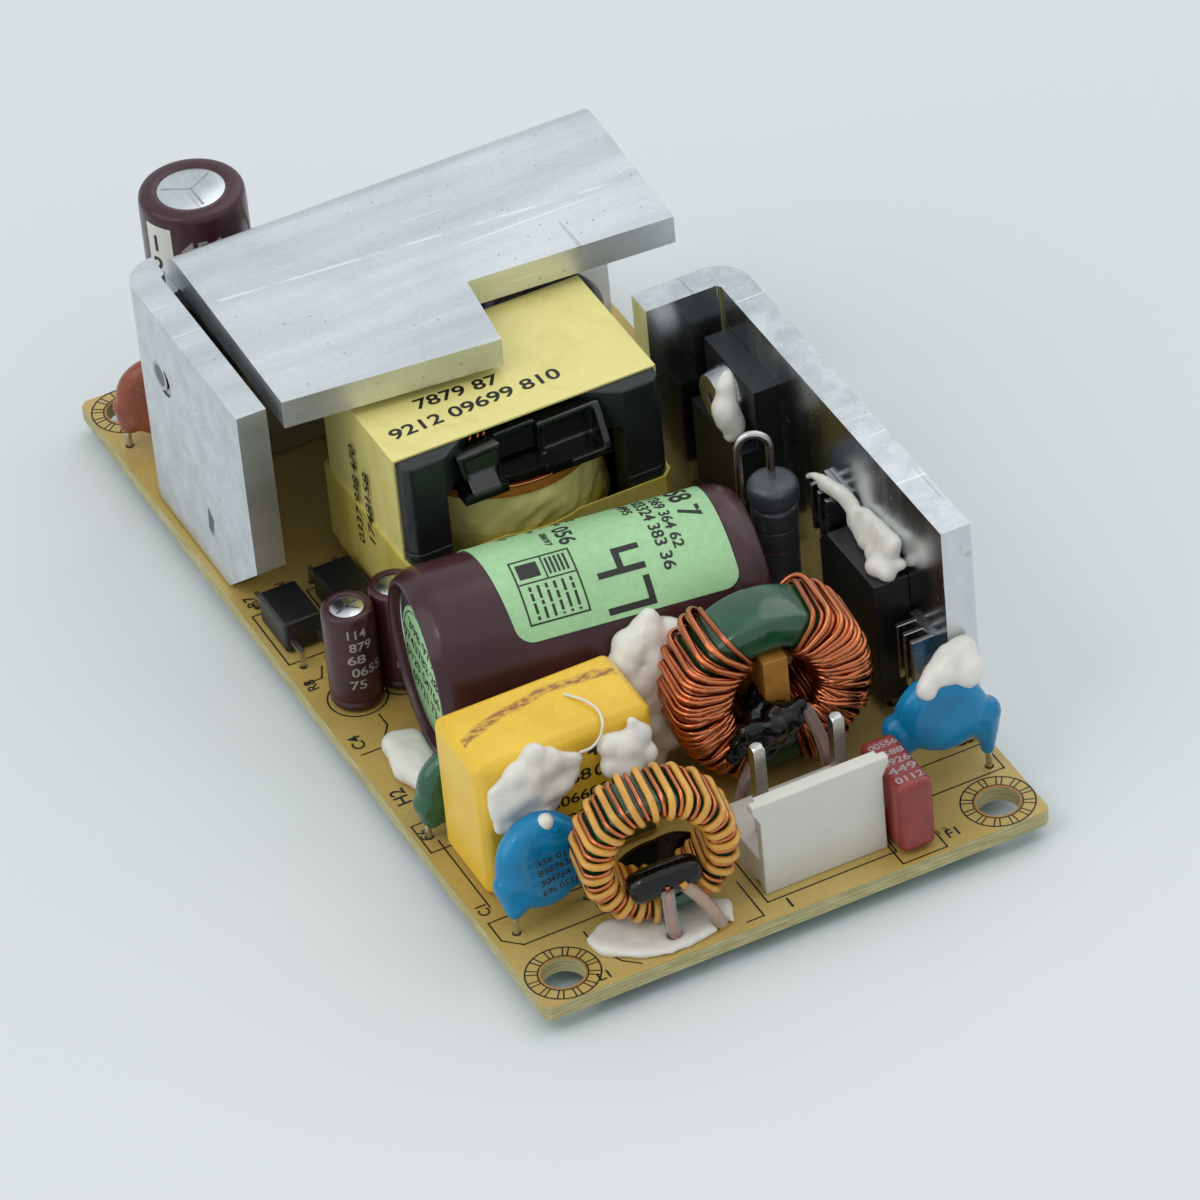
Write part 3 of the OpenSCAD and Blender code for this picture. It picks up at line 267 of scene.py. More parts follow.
def laminate():
    """Tan laminate above, green mask with copper paths below, bare glass fibre at the edges."""
    f = Finish("board_laminate")
    weave = (f.x * 5200).wave() * (f.y * 5200).wave()
    blotch = f.noise(70, 4)
    fine = f.noise(2600, 3)
    tan = f.mix((blotch * 0.7 + fine * 0.3).ramp(0.3, 0.72), srgb("b79a4e"), srgb("cdb36a"))
    paths = f.cells(150, "DISTANCE_TO_EDGE", (1, 0.62, 1)).ramp(0.035, 0.06)
    green = f.mix(paths, srgb("0c4a35"), srgb("1d7a52"))
    layers = (f.z * 15000).wave() * 0.1 + f.noise(1800, 3, (0.25, 0.25, 1.5)) * 0.9
    edge = f.mix(layers.ramp(0.2, 0.8), srgb("a39a66"), srgb("c9c294"))
    above = f.z > 1.58 * MM
    below = f.z < 0.02 * MM
    colour = f.mix(above, f.mix(below, edge, green), tan)
    height = weave * 0.25 + fine * 0.5 + paths * below * 2 + layers * (1 - above)
    rough = 0.42 + (blotch - 0.5) * 0.15 + (1 - above) * (1 - below) * 0.35 - below * 0.14
    return f.surface(colour, rough, height, 0.008, coat(0.1, 0.25))


# The long scratch over the top plate, in millimetres: its slope, its place at x = 0, the
# ends of its run and the height over which it shows
PLATE_SCRATCH = (-0.0905, 23.7, -19.2, 22.6, 27.9)


def aluminium(name, along, rough, polish, line=None):
    """Rolled aluminium with brushing along a direction, specks, rubs and thin scratches."""
    f = Finish(name)
    streak = f.noise(420, 4, along)
    rub = f.noise(60, 4, distortion=0.6)
    speck = f.noise(2400, 2)
    pit = 1 - f.cells(520).ramp(0.05, 0.11)
    scratch = f.noise(900, 1, (0.03, 1.4, 1.4), (0.3, 0.2, 0.5)).ramp(0.74, 0.76)
    nick = f.noise(700, 1, (1.3, 0.04, 1.3), (0.1, 0.5, -0.3)).ramp(0.73, 0.75)
    tone = (streak * 0.5 + rub * 0.3 + speck * 0.2).ramp(0.3, 0.7)
    colour = f.mix(tone, srgb("c6cacd"), srgb("e0e3e6"))
    colour = f.mix((pit * 0.45 + nick * 0.35).at_most(1.0), colour, srgb("8a8f94"))
    mark = scratch
    if line is not None:
        rise, at, from_x, to_x, from_z = line
        track = 1 - abs(f.y - f.x * rise - at * MM).ramp(0.1 * MM, 0.22 * MM)
        track = track * (f.x > from_x * MM) * (f.x < to_x * MM) * (f.z > from_z * MM)
        mark = (mark + track * f.noise(260, 2).ramp(0.36, 0.5)).at_most(1.0)
    colour = f.mix(mark * 0.6, colour, srgb("f2f4f5"))
    gloss = rough + (rub - 0.5) * 0.22 + (streak - 0.5) * polish + mark * 0.12 + pit * 0.1
    relief = streak * 0.3 + speck * 0.3 - pit * 1.0 - scratch * 0.8
    return f.surface(colour, gloss, relief, 0.006, metallic=1.0)


def tape():
    """Glossy yellow film with soft wrinkles, painted paler over its upper part as a highlight."""
    f = Finish("yellow_tape")
    fold = f.noise(210, 3, (1, 1, 0.55), distortion=1.2)
    fine = f.noise(1500, 2)
    # Painted highlight: the film is made paler above 12.5 mm
    band = (f.z > 12.5 * MM) * 0.35
    colour = f.mix((fold * 0.8 + fine * 0.2 + band).ramp(0.25, 0.95),
                   srgb("d3c254"), srgb("efe592"))
    return f.surface(colour, 0.3 + (fold - 0.5) * 0.14, fold * 1.0 + fine * 0.08, 0.14,
                     coat(0.35, 0.18))


def shrunk_sleeve():
    """Plum sleeve: smooth, with a slight orange peel."""
    f = Finish("plum_sleeve")
    peel = f.noise(900, 2)
    cloud = f.noise(120, 3)
    colour = f.mix(cloud.ramp(0.3, 0.7), srgb("381a20"), srgb("462329"))
    return f.surface(colour, 0.3 + (cloud - 0.5) * 0.12, peel, 0.008, coat(0.25, 0.12, 0.3))


def label_paper():
    f = Finish("green_label")
    fibre = f.noise(1600, 4)
    cloud = f.noise(140, 3)
    colour = f.mix((fibre * 0.5 + cloud * 0.5).ramp(0.3, 0.7), srgb("98c792"), srgb("aad8a2"))
    return f.surface(colour, 0.4 + (cloud - 0.5) * 0.14, fibre, 0.005, coat(0.25, 0.3))


def yellow_box():
    """Moulded yellow case with a dry brown marker stroke in an arc over its top, and painted shade
    low on its front.
    """
    f = Finish("yellow_box")
    cloud = f.noise(160, 3)
    fine = f.noise(2400, 3)
    colour = f.mix((cloud * 0.7 + fine * 0.3).ramp(0.3, 0.7), srgb("e8b92c"), srgb("f5cb3e"))
    # The stroke: a bent line along the top, ragged and thin where the pen ran dry
    along = (f.x + 22.9 * MM) / (16.5 * MM)
    arc = -31.4 * MM + along * 2.2 * MM + (1 - (along * 2 - 1).power(2.0)) * 1.6 * MM
    offset = (f.y - arc + (f.noise(350, 3) - 0.5) * 1.0 * MM) / MM
    inside = 1 - abs(offset).ramp(0.3, 0.75)
    dry = f.noise(1900, 4, (0.6, 1.2, 1)).ramp(0.42, 0.6)
    ends = (along > 0.0) * (along < 1.0) * (f.z > 16.7 * MM)
    colour = f.mix(inside * ends * (0.3 + dry * 0.55), colour, srgb("8a4a2c"))
    # Painted shade low on the front, behind the small choke's bore, so that the bore shows dark
    low = 1 - f.z.ramp(4.5 * MM, 8.0 * MM)
    behind = low * (f.y < -35.2 * MM) * f.x.ramp(-15.0 * MM, -12.0 * MM)
    # Dark green-black colour of the painted shade
    colour = f.mix(behind * 0.9, colour, srgb("26321c"))
    return f.surface(colour, 0.36 + (cloud - 0.5) * 0.1, fine + cloud * 0.6, 0.012,
                     coat(0.15, 0.3))


def studio_floor():
    f = Finish("studio_floor")
    cloud = f.noise(3, 2)
    colour = f.mix(cloud.ramp(0.35, 0.65), srgb("dfe5e7"), srgb("e4e9eb"))
    return f.surface(colour, 0.7 + (cloud - 0.5) * 0.1, f.noise(600, 2), 0.01,
                     {"Specular IOR Level": 0.2})


# Every finish: the function that makes it and what it is given
FINISHES = {
    "board": (laminate,),
    "aluminium_top": (aluminium, "aluminium_top", (0.08, 1, 1), 0.42, 0.1, PLATE_SCRATCH),
    "aluminium_side": (aluminium, "aluminium_side", (1, 1, 0.09), 0.24, 0.26),
    "can_end": (aluminium, "can_metal", (1, 0.3, 0.3), 0.22, 0.2),
    "tape": (tape,),
    "sleeve": (shrunk_sleeve,),
    "label": (label_paper,),
    "yellow_box": (yellow_box,),
    "floor": (studio_floor,),
    "yellow_wire": (enamelled, "yellow_wire", "dba03a", 0.0, 0.3, "c4812a"),
    "copper_wire": (enamelled, "copper_wire", "cc7344", 1.0, 0.22, "9c4d29"),
    "dark_copper": (enamelled, "dark_copper", "b5653a", 1.0, 0.3, "7a3a20"),
    "ferrite": (speckled, "ferrite", "1b2021", "30383a", 0.4, 700, 0.36, 0.03),
    "package": (speckled, "package_black", "17191b", "2c2f32", 0.4, 900, 0.34, 0.012),
    "blue": (speckled, "blue_epoxy", "0480b4", "2098c4", 0.16, 300, 0.2, 0.03,
             coat(0.25, 0.06, 0.3)),
    "rust": (speckled, "rust_epoxy", "8a3f20", "b56a44", 0.34, 420, 0.36, 0.04, coat(0.2)),
    "green_bead": (speckled, "green_epoxy", "1d5a3c", "3c8a63", 0.24, 420, 0.34, 0.05,
                   coat(0.4)),
    "core_green": (speckled, "core_coating", "0a4a2c", "1c6e44", 0.16, 420, 0.3, 0.12,
                   coat(0.6, 0.1)),
    "red_case": (speckled, "red_case", "8c2f2c", "b25a55", 0.36, 500, 0.3, 0.02, coat(0.2)),
    "moulding": (grained, "black_moulding", "0c0d0e", 0.16, 300, 0.2, 1500, 0.004, 0.1,
                 coat(0.4, 0.08)),
    "potting": (grained, "potting", "08090a", 0.1, 500, 0.3, 900, 0.03, 0.1,
                coat(0.25, 0.04, 0.25)),
    "clear": (grained, "clear_sleeve", "e6e0dc", 0.2, 500, 0.05, 1800, 0.006, 0.1,
              {"Transmission Weight": 0.72, "IOR": 1.45}),
    "amber": (grained, "amber_film", "c07a30", 0.25, 260, 0.3, 1500, 0.02, 0.1,
              coat(0.6, 0.1)),
    "tan_card": (grained, "tan_card", "b07a2e", 0.55, 400, 0.2, 2600, 0.02, 0.12),
    "nylon": (grained, "nylon", "d6d5cc", 0.3, 160, 0.04, 900, 0.004, 0.08,
              coat(0.3, 0.15)),
    "grey_lacquer": (grained, "grey_lacquer", "4c5258", 0.36, 260, 0.14, 1600, 0.03, 0.14,
                     coat(0.25)),
    "silicone": (grained, "silicone", "e6e4db", 0.3, 300, 0.03, 900, 0.02, 0.1, coat(0.2)),
    "tinned": (grained, "tinned_lead", "c4c3bf", 0.26, 500, 0.12, 2600, 0.008, 0.2, None, 1.0),
    "steel": (grained, "plated_steel", "b2b3b5", 0.24, 300, 0.12, 2000, 0.006, 0.2, None, 1.0),
    "solder": (grained, "solder", "c8cacb", 0.22, 900, 0.14, 2200, 0.03, 0.25, None, 1.0),
    # Grey for the painted shade in the left wall's dent
    "dent_shade": (grained, "rubbed_dent", "6a6d70", 0.5, 900, 0.3, 3500, 0.01, 0.1, None, 0.8),
    "ink": (grained, "black_ink", "17160f", 0.5, 900, 0.3, 3500, 0.002, 0.1),
    "white_ink": (grained, "pale_ink", "a3989b", 0.45, 900, 0.12, 3500, 0.002, 0.1),
}
made_finishes = {}


def finish(name):
    """A finish by its name, made when it is first asked for."""
    if name not in made_finishes:
        make, *given = FINISHES[name]
        made_finishes[name] = make(*given)
    return made_finishes[name]


# ---- Mesh pieces ----

def kept(piece, slot, *nodes):
    """Every piece moves with the supply and stands for its solids; the slot is not used."""
    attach(piece, BODY)
    if nodes:
        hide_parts(*nodes)
    return piece


def dressed(node, finish_name):
    """Gives a solid that stays its finish."""
    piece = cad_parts[node]
    piece.data.materials.clear()
    piece.data.materials.append(finish(finish_name))


def linked(name, mesh):
    """An object in the scene for a mesh, a curve, a lamp or a camera."""
    piece = bpy.data.objects.new(name, mesh)
    bpy.context.scene.collection.objects.link(piece)
    return piece


def worked_out(piece):
    """The plain mesh that an object's curve or modifiers give."""
    bpy.context.view_layer.update()
    ready = piece.evaluated_get(bpy.context.evaluated_depsgraph_get())
    return bpy.data.meshes.new_from_object(ready)


def applied(piece):
    """The piece with its modifiers worked into a plain mesh."""
    name = piece.name
    mesh = worked_out(piece)
    old = piece.data
    bpy.data.objects.remove(piece)
    if old.users == 0:
        bpy.data.meshes.remove(old)
    mesh.name = name
    return linked(name, mesh)


def smoothed(piece, angle):
    """Smooth shading, save at edges sharper than an angle in degrees."""
    piece.data.shade_smooth()
    piece.data.set_sharp_from_angle(angle=math.radians(angle))
    return piece


def eased(points, radii, steps):
    """Polyline with its inner corners rounded in steps.

    The radii are one number or one for each point."""
    points = [Vector(p) for p in points]
    if not isinstance(radii, (list, tuple)):
        radii = [radii] * len(points)
    out = [points[0]]
    for i in range(1, len(points) - 1):
        before, here, after = points[i - 1], points[i], points[i + 1]
        reach = min(radii[i], (here - before).length * 0.48, (after - here).length * 0.48)
        if reach < 1e-6:
            out.append(here)
            continue
        a = here + (before - here).normalized() * reach
        b = here + (after - here).normalized() * reach
        for k in range(steps + 1):
            t = k / steps
            out.append(a * (1 - t) ** 2 + here * 2 * t * (1 - t) + b * t * t)
    out.append(points[-1])
    return out


def circle(radius, count, at=(0, 0)):
    """Points round a circle."""
    angles = [FULL_TURN * k / count for k in range(count)]
    return [(at[0] + radius * math.cos(a), at[1] + radius * math.sin(a)) for a in angles]


def grid(rows, columns, closed=False):
    """Faces between rows of points that run round; closed joins the last row to the first."""
    faces = []
    for i in range(rows if closed else rows - 1):
        here, after = i * columns, (i + 1) % rows * columns
        for k in range(columns):
            n = (k + 1) % columns
            faces.append([here + k, here + n, after + n, after + k])
    return faces


def stood(place, yaw, tilt=0):
    """Tilted about X, turned about Z and moved to a place; the angles are in degrees."""
    return (Matrix.Translation(place) @ Matrix.Rotation(math.radians(yaw), 4, "Z")
            @ Matrix.Rotation(math.radians(tilt), 4, "X"))


class Shape:
    """Gathers closed shells, in millimetres, for one piece."""

    def __init__(self):
        self.verts, self.faces, self.kinds = [], [], []

    def add(self, verts, faces, kind=0, matrix=None):
        """Adds a shell; kind is the place of its finish in the piece's list."""
        start = len(self.verts)
        self.verts += [matrix @ Vector(v) if matrix else Vector(v) for v in verts]
        self.faces += [[start + i for i in face] for face in faces]
        self.kinds += [kind] * len(faces)
        return self

    def lathe(self, profile, segments, kind=0, matrix=None):
        """Turns (radius, height) points round Z; a radius of 0 makes a pole."""
        verts, faces, rings = [], [], []
        for r, z in profile:
            points = [(0, 0)] if r < 1e-6 else circle(r, segments)
            rings.append(list(range(len(verts), len(verts) + len(points))))
            verts += [(x, y, z) for x, y in points]
        for low, high in zip(rings, rings[1:]):
            if len(low) == 1 and len(high) == 1:
                continue
            for k in range(segments):
                n = (k + 1) % segments
                if len(low) == 1:
                    faces.append([low[0], high[n], high[k]])
                elif len(high) == 1:
                    faces.append([low[k], low[n], high[0]])
                else:
                    faces.append([low[k], low[n], high[n], high[k]])
        return self.add(verts, faces, kind, matrix)

    def tube(self, path, radius, sides, kind=0, closed=False):
        """Round bar along a path; radius is one number or one for each point."""
        path = [Vector(p) for p in path]
        count = len(path)
        radii = radius if isinstance(radius, (list, tuple)) else [radius] * count
        verts = []
        up = None
        for i, here in enumerate(path):
            after = path[(i + 1) % count] if closed or i + 1 < count else here
            before = path[i - 1] if closed or i else here
            way = (after - before).normalized()
            if up is None:
                up = way.orthogonal().normalized()
            up = (up - way * up.dot(way)).normalized()
            side = way.cross(up)
            for k in range(sides):
                a = FULL_TURN * k / sides
                verts.append(here + (up * math.cos(a) + side * math.sin(a)) * radii[i])
        faces = grid(count, sides, closed)
        if not closed:
            faces.append(list(range(sides))[::-1])
            faces.append([(count - 1) * sides + k for k in range(sides)])
        return self.add(verts, faces, kind)

    def prism(self, near, far, kind=0):
        """Solid between two outlines whose points match."""
        count = len(near)
        faces = [list(range(count)), list(range(count, 2 * count))[::-1]]
        for i in range(count):
            n = (i + 1) % count
            faces.append([i, count + i, count + n, n])
        return self.add([*near, *far], faces, kind)

    def block(self, low, high, kind=0, matrix=None):
        verts = [(x, y, z) for z in (low[2], high[2]) for y in (low[1], high[1])
                 for x in (low[0], high[0])]
        faces = [[0, 2, 3, 1], [4, 5, 7, 6], [0, 1, 5, 4], [2, 6, 7, 3], [0, 4, 6, 2],
                 [1, 3, 7, 5]]
        return self.add(verts, faces, kind, matrix)

    def balls(self, rows):
        """Balls, each given by its centre and its radius."""
        segments = 16
        steps = segments // 2
        angles = [math.pi * k / steps for k in range(steps + 1)]
        for x, y, z, r in rows:
            profile = [(r * math.sin(a), -r * math.cos(a)) for a in angles]
            self.lathe(profile, segments, 0, Matrix.Translation((x, y, z)))
        return self

    def piece(self, name, finishes, matrix=None, smooth=35, outward=True, flat=False):
        """Makes the object; smooth is the angle past which an edge stays sharp."""
        mesh = bpy.data.meshes.new(name)
        verts = [(matrix @ v if matrix else v) * MM for v in self.verts]
        mesh.from_pydata(verts, [], self.faces)
        for i, kind in enumerate(self.kinds):
            mesh.polygons[i].material_index = kind
        for each in finishes if isinstance(finishes, (list, tuple)) else [finishes]:
            mesh.materials.append(finish(each))
        if outward:
            work = bmesh.new()
            work.from_mesh(mesh)
            bmesh.ops.recalc_face_normals(work, faces=work.faces)
            work.to_mesh(mesh)
            work.free()
        made = linked(name, mesh)
        return made if flat else smoothed(made, smooth)


def solid_copy(name, nodes, finish_name, clean=True, top=None):
    """One mesh from copies of solids, doubles merged and flat faces joined.

    With a top given, in millimetres, what stands above it is cut off."""
    work = bmesh.new()
    for node in nodes:
        work.from_mesh(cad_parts[node].data)
    bmesh.ops.remove_doubles(work, verts=work.verts, dist=SAME_POINT)
    if top is not None:
        bmesh.ops.bisect_plane(work, geom=work.verts[:] + work.edges[:] + work.faces[:],
                               plane_co=(0, 0, top * MM), plane_no=(0, 0, 1),
                               clear_outer=True)
        rim = [edge for edge in work.edges if edge.is_boundary]
        bmesh.ops.holes_fill(work, edges=rim, sides=0)
    if clean:
        bmesh.ops.dissolve_limit(work, angle_limit=math.radians(1), verts=work.verts,
                                 edges=work.edges)
    mesh = bpy.data.meshes.new(name)
    work.to_mesh(mesh)
    work.free()
    mesh.materials.clear()
    mesh.materials.append(finish(finish_name))
    for face in mesh.polygons:
        face.material_index = 0
    return linked(name, mesh)


def softened(name, node, width, finish_name, slot, segments=2, top=None):
    """Stands for a solid with rolled edges, as moulding and sheet have them."""
    piece = solid_copy(name, [node], finish_name, top=top)
    roll = piece.modifiers.new("roll", "BEVEL")
    roll.width = width * MM
    roll.segments = segments
    roll.limit_method = "ANGLE"
    roll.angle_limit = SHARP_ANGLE
    roll.use_clamp_overlap = True
    piece.data.shade_smooth()
    piece.modifiers.new("even", "WEIGHTED_NORMAL").keep_sharp = False
    return kept(applied(piece), slot, node)


def dipped(name, nodes, voxel, rounds, finish_name, rough=0.0, seed=0, extra=None, growth=0.0):
    """Copies of solids and an extra shape run together like a dipped or poured skin.

    The voxel, the lumps' depth (rough) and the skin's thickness (growth) are in
    millimetres; rounds counts the passes that smooth it."""
    piece = solid_copy(name, nodes, finish_name, False)
    if extra:
        work = bmesh.new()
        work.from_mesh(piece.data)
        added = extra.piece("extra", finish_name)
        mesh = added.data
        work.from_mesh(mesh)
        work.to_mesh(piece.data)
        work.free()
        bpy.data.objects.remove(added)
        bpy.data.meshes.remove(mesh)
    skin = piece.modifiers.new("skin", "REMESH")
    skin.mode = "VOXEL"
    skin.voxel_size = voxel * MM
    ease = piece.modifiers.new("ease", "SMOOTH")
    ease.factor = 0.5
    ease.iterations = rounds
    piece = applied(piece)
    if rough or growth:
        offset = Vector((seed * 13.7, seed * 5.1, seed * 9.3))
        normals = [v.normal.copy() for v in piece.data.vertices]
        for vertex, normal in zip(piece.data.vertices, normals):
            at = vertex.co / MM
            swell = noise.noise(at * 0.45 + offset) + 0.3 * noise.noise(at * 1.1 + offset)
            vertex.co += normal * (swell * rough + growth) * MM
    piece.data.materials.clear()
    piece.data.materials.append(finish(finish_name))
    piece.data.shade_smooth()
    return piece


# ---- Print ----

class Ink:
    """Flat printed marks, gathered on a plane in millimetres.

    The step is the longest side of a patch, so that print can bend round a can."""

    def __init__(self, step=4.0, rng=None):
        self.patches, self.step, self.rng = [], step, rng

    def bar(self, x0, y0, x1, y1):
        x0, x1, y0, y1 = min(x0, x1), max(x0, x1), min(y0, y1), max(y0, y1)
        columns = max(1, math.ceil((x1 - x0) / self.step))
        rows = max(1, math.ceil((y1 - y0) / self.step))
        for i in range(columns):
            for j in range(rows):
                a, b = (x0 + (x1 - x0) * (i + d) / columns for d in (0, 1))
                c, d = (y0 + (y1 - y0) * (j + d) / rows for d in (0, 1))
                self.patches.append([(a, c), (b, c), (b, d), (a, d)])
        return self

    def line(self, width, points, closed=False):
        points = [Vector(p) for p in points]
        ends = list(zip(points, points[1:] + points[:1] if closed else points[1:]))
        for a, b in ends:
            way = (b - a).normalized()
            side = Vector((-way.y, way.x)) * width / 2
            a, b = a - way * width / 2, b + way * width / 2
            count = max(1, math.ceil((b - a).length / self.step))
            for k in range(count):
                p, q = a.lerp(b, k / count), a.lerp(b, (k + 1) / count)
                self.patches.append([tuple(p - side), tuple(q - side),
                                     tuple(q + side), tuple(p + side)])
        return self

    def ring(self, x, y, radius, width):
        steps = 48
        inner, outer = (circle(radius + side * width / 2, steps, (x, y)) for side in (-1, 1))
        for k in range(steps):
            n = (k + 1) % steps
            self.patches.append([inner[k], outer[k], outer[n], inner[n]])
        return self

    def rows(self, *rows):
        """Rows of plain figures in groups, each given by x, y, length, height and turn.

        Figures that would be too small to read become dashes."""
        for x, y, length, height, *turn in rows:
            turn = turn[0] if turn else 0.0
            if height < 0.5:
                self.dashes(x, y, length, height, turn)
                continue
            count = max(2, round(length / (height * 0.8)))
            words, run = "", 0
            for _ in range(count):
                gap = run > 2 and self.rng.random() < 0.35
                words += " " if gap else str(self.rng.randint(0, 9))
                run = 0 if gap else run + 1
            self.text(words.strip(), x, y, height / 0.7, turn, length)
        return self

    def dashes(self, x, y, length, height, turn):
        place = Matrix.Rotation(math.radians(turn), 2)
        at = 0.0
        while at < length:
            wide = min(length - at, height * self.rng.uniform(1.0, 4.0))
            corners = [(at, 0), (at + wide, 0), (at + wide, height * 0.7), (at, height * 0.7)]
            self.patches.append([tuple(place @ Vector(c) + Vector((x, y))) for c in corners])
            at += wide + height * 0.6

    def text(self, words, x, y, size, turn=0.0, length=None):
        """Figures and letters of the built-in font, drawn out to a length if one is given."""
        curve = bpy.data.curves.new("figures", "FONT")
        curve.body, curve.size, curve.offset = words, size, size * 0.018
        source = linked("figures", curve)
        mesh = worked_out(source)
        place = Matrix.Rotation(math.radians(turn), 2)
        stretch = length / max(v.co.x for v in mesh.vertices) if length else 1.0
        points = [tuple(place @ Vector((v.co.x * stretch, v.co.y)) + Vector((x, y)))
                  for v in mesh.vertices]
        self.patches += [[points[i] for i in face.vertices] for face in mesh.polygons]
        bpy.data.objects.remove(source)
        bpy.data.curves.remove(curve)
        bpy.data.meshes.remove(mesh)
        return self

    def piece(self, name, finish_name, mapping):
        """Makes the object; mapping turns a place on the plane into one in space."""
        shape = Shape()
        for patch in self.patches:
            shape.add([mapping(u, v) for u, v in patch], [list(range(len(patch)))])
        return shape.piece(name, finish_name, outward=False, flat=True)


def flat_at(z):
    """Maps print on to a level plane."""
    return lambda u, v: (u, v, z)


# ---- Geometry Nodes ----

class Tree(Graph):
    """A Geometry Nodes tree under construction, with named inputs."""

    kinds = {int: "NodeSocketInt", float: "NodeSocketFloat"}

    def __init__(self, name, **inputs):
        self.tree = bpy.data.node_groups.new(name, "GeometryNodeTree")
        interface = self.tree.interface
        self.sockets = {}
        for label, default in inputs.items():
            socket = interface.new_socket(name=label, in_out="INPUT",
                                          socket_type=self.kinds[type(default)])
            socket.default_value = default
            self.sockets[label] = socket.identifier
        coating = interface.new_socket(name="Finish", in_out="INPUT",
                                       socket_type="NodeSocketMaterial")
        self.sockets["Finish"] = coating.identifier
        interface.new_socket(name="Geometry", in_out="OUTPUT",
                             socket_type="NodeSocketGeometry")
        self.start = self.node("NodeGroupInput")
        self.end = self.node("NodeGroupOutput")
        self.index = Number(self, self.node("GeometryNodeInputIndex").outputs[0])

    def given(self, label):
        return Number(self, self.start.outputs[label])

    def random(self, low, high, seed):
        node = self.node("FunctionNodeRandomValue", {"data_type": "FLOAT"},
                         {2: low, 3: high, 8: seed})
        return Number(self, node.outputs[1])

    def vector(self, x, y, z):
        return self.node("ShaderNodeCombineXYZ", None, {0: x, 1: y, 2: z}).outputs[0]

    def repeat(self, count, shape, rotation, scale=(1, 1, 1)):
        """Ends the tree with copies round the origin, realized and given their material."""
        points = self.node("GeometryNodePoints", None, {"Count": count, "Position": (0, 0, 0)})
        copies = self.node("GeometryNodeInstanceOnPoints", None, {
            "Points": points.outputs[0], "Instance": shape, "Rotation": rotation,
            "Scale": scale})
        solid = self.node("GeometryNodeRealizeInstances", None, {0: copies.outputs[0]})
        coated = self.node("GeometryNodeSetMaterial", None, {
            "Geometry": solid.outputs[0], "Material": self.start.outputs["Finish"]})
        self.tree.links.new(coated.outputs[0], self.end.inputs[0])
        return self

    def grown(self, name, values):
        """A plain mesh from this tree with these inputs."""
        piece = linked(name, bpy.data.meshes.new(name))
        modifier = piece.modifiers.new("build", "NODES")
        modifier.node_group = self.tree
        for label, value in values.items():
            modifier[self.sockets[label]] = value
        return applied(piece)


def winding_tree():
    """Turns of round wire on a ring core that lies in the XY plane."""
    t = Tree("ring_winding", Turns=20, From=0.0, To=3.0, Inner=0.005, Outer=0.008, Height=0.006,
             Wire=0.0003, Corner=0.001, Lean=0.0, Skew=0.0, Wobble=0.02, Seed=1)
    inner, outer, wire = t.given("Inner"), t.given("Outer"), t.given("Wire")
    loop = t.node("GeometryNodeCurvePrimitiveQuadrilateral", None,
                  {"Width": outer - inner, "Height": t.given("Height")})
    round_loop = t.node("GeometryNodeFilletCurve", {"mode": "POLY"},
                        {"Curve": loop.outputs[0], "Count": 6, "Radius": t.given("Corner")})
    upright = t.node("GeometryNodeTransform", None, {
        "Geometry": round_loop.outputs[0],
        "Rotation": t.vector(QUARTER, 0.0, t.given("Skew")),
        "Translation": t.vector((inner + outer) * 0.5, 0.0, 0.0)})
    profile = t.node("GeometryNodeCurvePrimitiveCircle", None,
                     {"Resolution": 8, "Radius": wire})
    bar = t.node("GeometryNodeCurveToMesh", None,
                 {"Curve": upright.outputs[0], "Profile Curve": profile.outputs[0]})
    smooth = t.node("GeometryNodeSetShadeSmooth", None, {"Geometry": bar.outputs[0]})
    share = t.index / (t.given("Turns") - 1)
    seed, wobble = t.given("Seed"), t.given("Wobble")
    span = (t.given("To") - t.given("From")) * share
    angle = t.given("From") + span + wobble * t.random(-1.0, 1.0, seed)
    lean = t.given("Lean") + wobble * 2 * t.random(-1.0, 1.0, seed + 1)
    tip = wobble * 0.5 * t.random(-1.0, 1.0, seed + 2)
    rise = 1 + wobble * t.random(0.0, 1.0, seed + 3)
    return t.repeat(t.given("Turns"), smooth.outputs[0], t.vector(lean, tip, angle),
                    t.vector(1.0, 1.0, rise))


def round_mark_tree():
    """Short printed strokes set round a hole."""
    t = Tree("round_marks", Marks=8, From=0.002, To=0.0035, Width=0.0002, Start=0.0)
    inner, outer = t.given("From"), t.given("To")
    patch = t.node("GeometryNodeMeshGrid", None, {
        "Size X": outer - inner, "Size Y": t.given("Width"), "Vertices X": 2, "Vertices Y": 2})
    moved = t.node("GeometryNodeTransform", None, {
        "Geometry": patch.outputs[0],
        "Translation": t.vector((inner + outer) * 0.5, 0.0, 0.0)})
    turn = t.given("Start") + t.index * FULL_TURN / t.given("Marks")
    return t.repeat(t.given("Marks"), moved.outputs[0], t.vector(0.0, 0.0, turn))


def joined(name, pieces):
    """One piece from several plain meshes that share their finishes."""
    work = bmesh.new()
    finishes = []
    for piece in pieces:
        start = len(work.faces)
        work.from_mesh(piece.data)
        work.faces.ensure_lookup_table()
        index = []
        for each in piece.data.materials:
            if each not in finishes:
                finishes.append(each)
            index.append(finishes.index(each))
        for face in work.faces[start:]:
            face.material_index = index[min(face.material_index, len(index) - 1)]
    mesh = bpy.data.meshes.new(name)
    work.to_mesh(mesh)
    work.free()
    for each in finishes:
        mesh.materials.append(each)
    for piece in pieces:
        old = piece.data
        bpy.data.objects.remove(piece)
        bpy.data.meshes.remove(old)
    return linked(name, mesh)


# ---- Settings ----

DISTANCE = {"unit": "LENGTH", "subtype": "DISTANCE"}


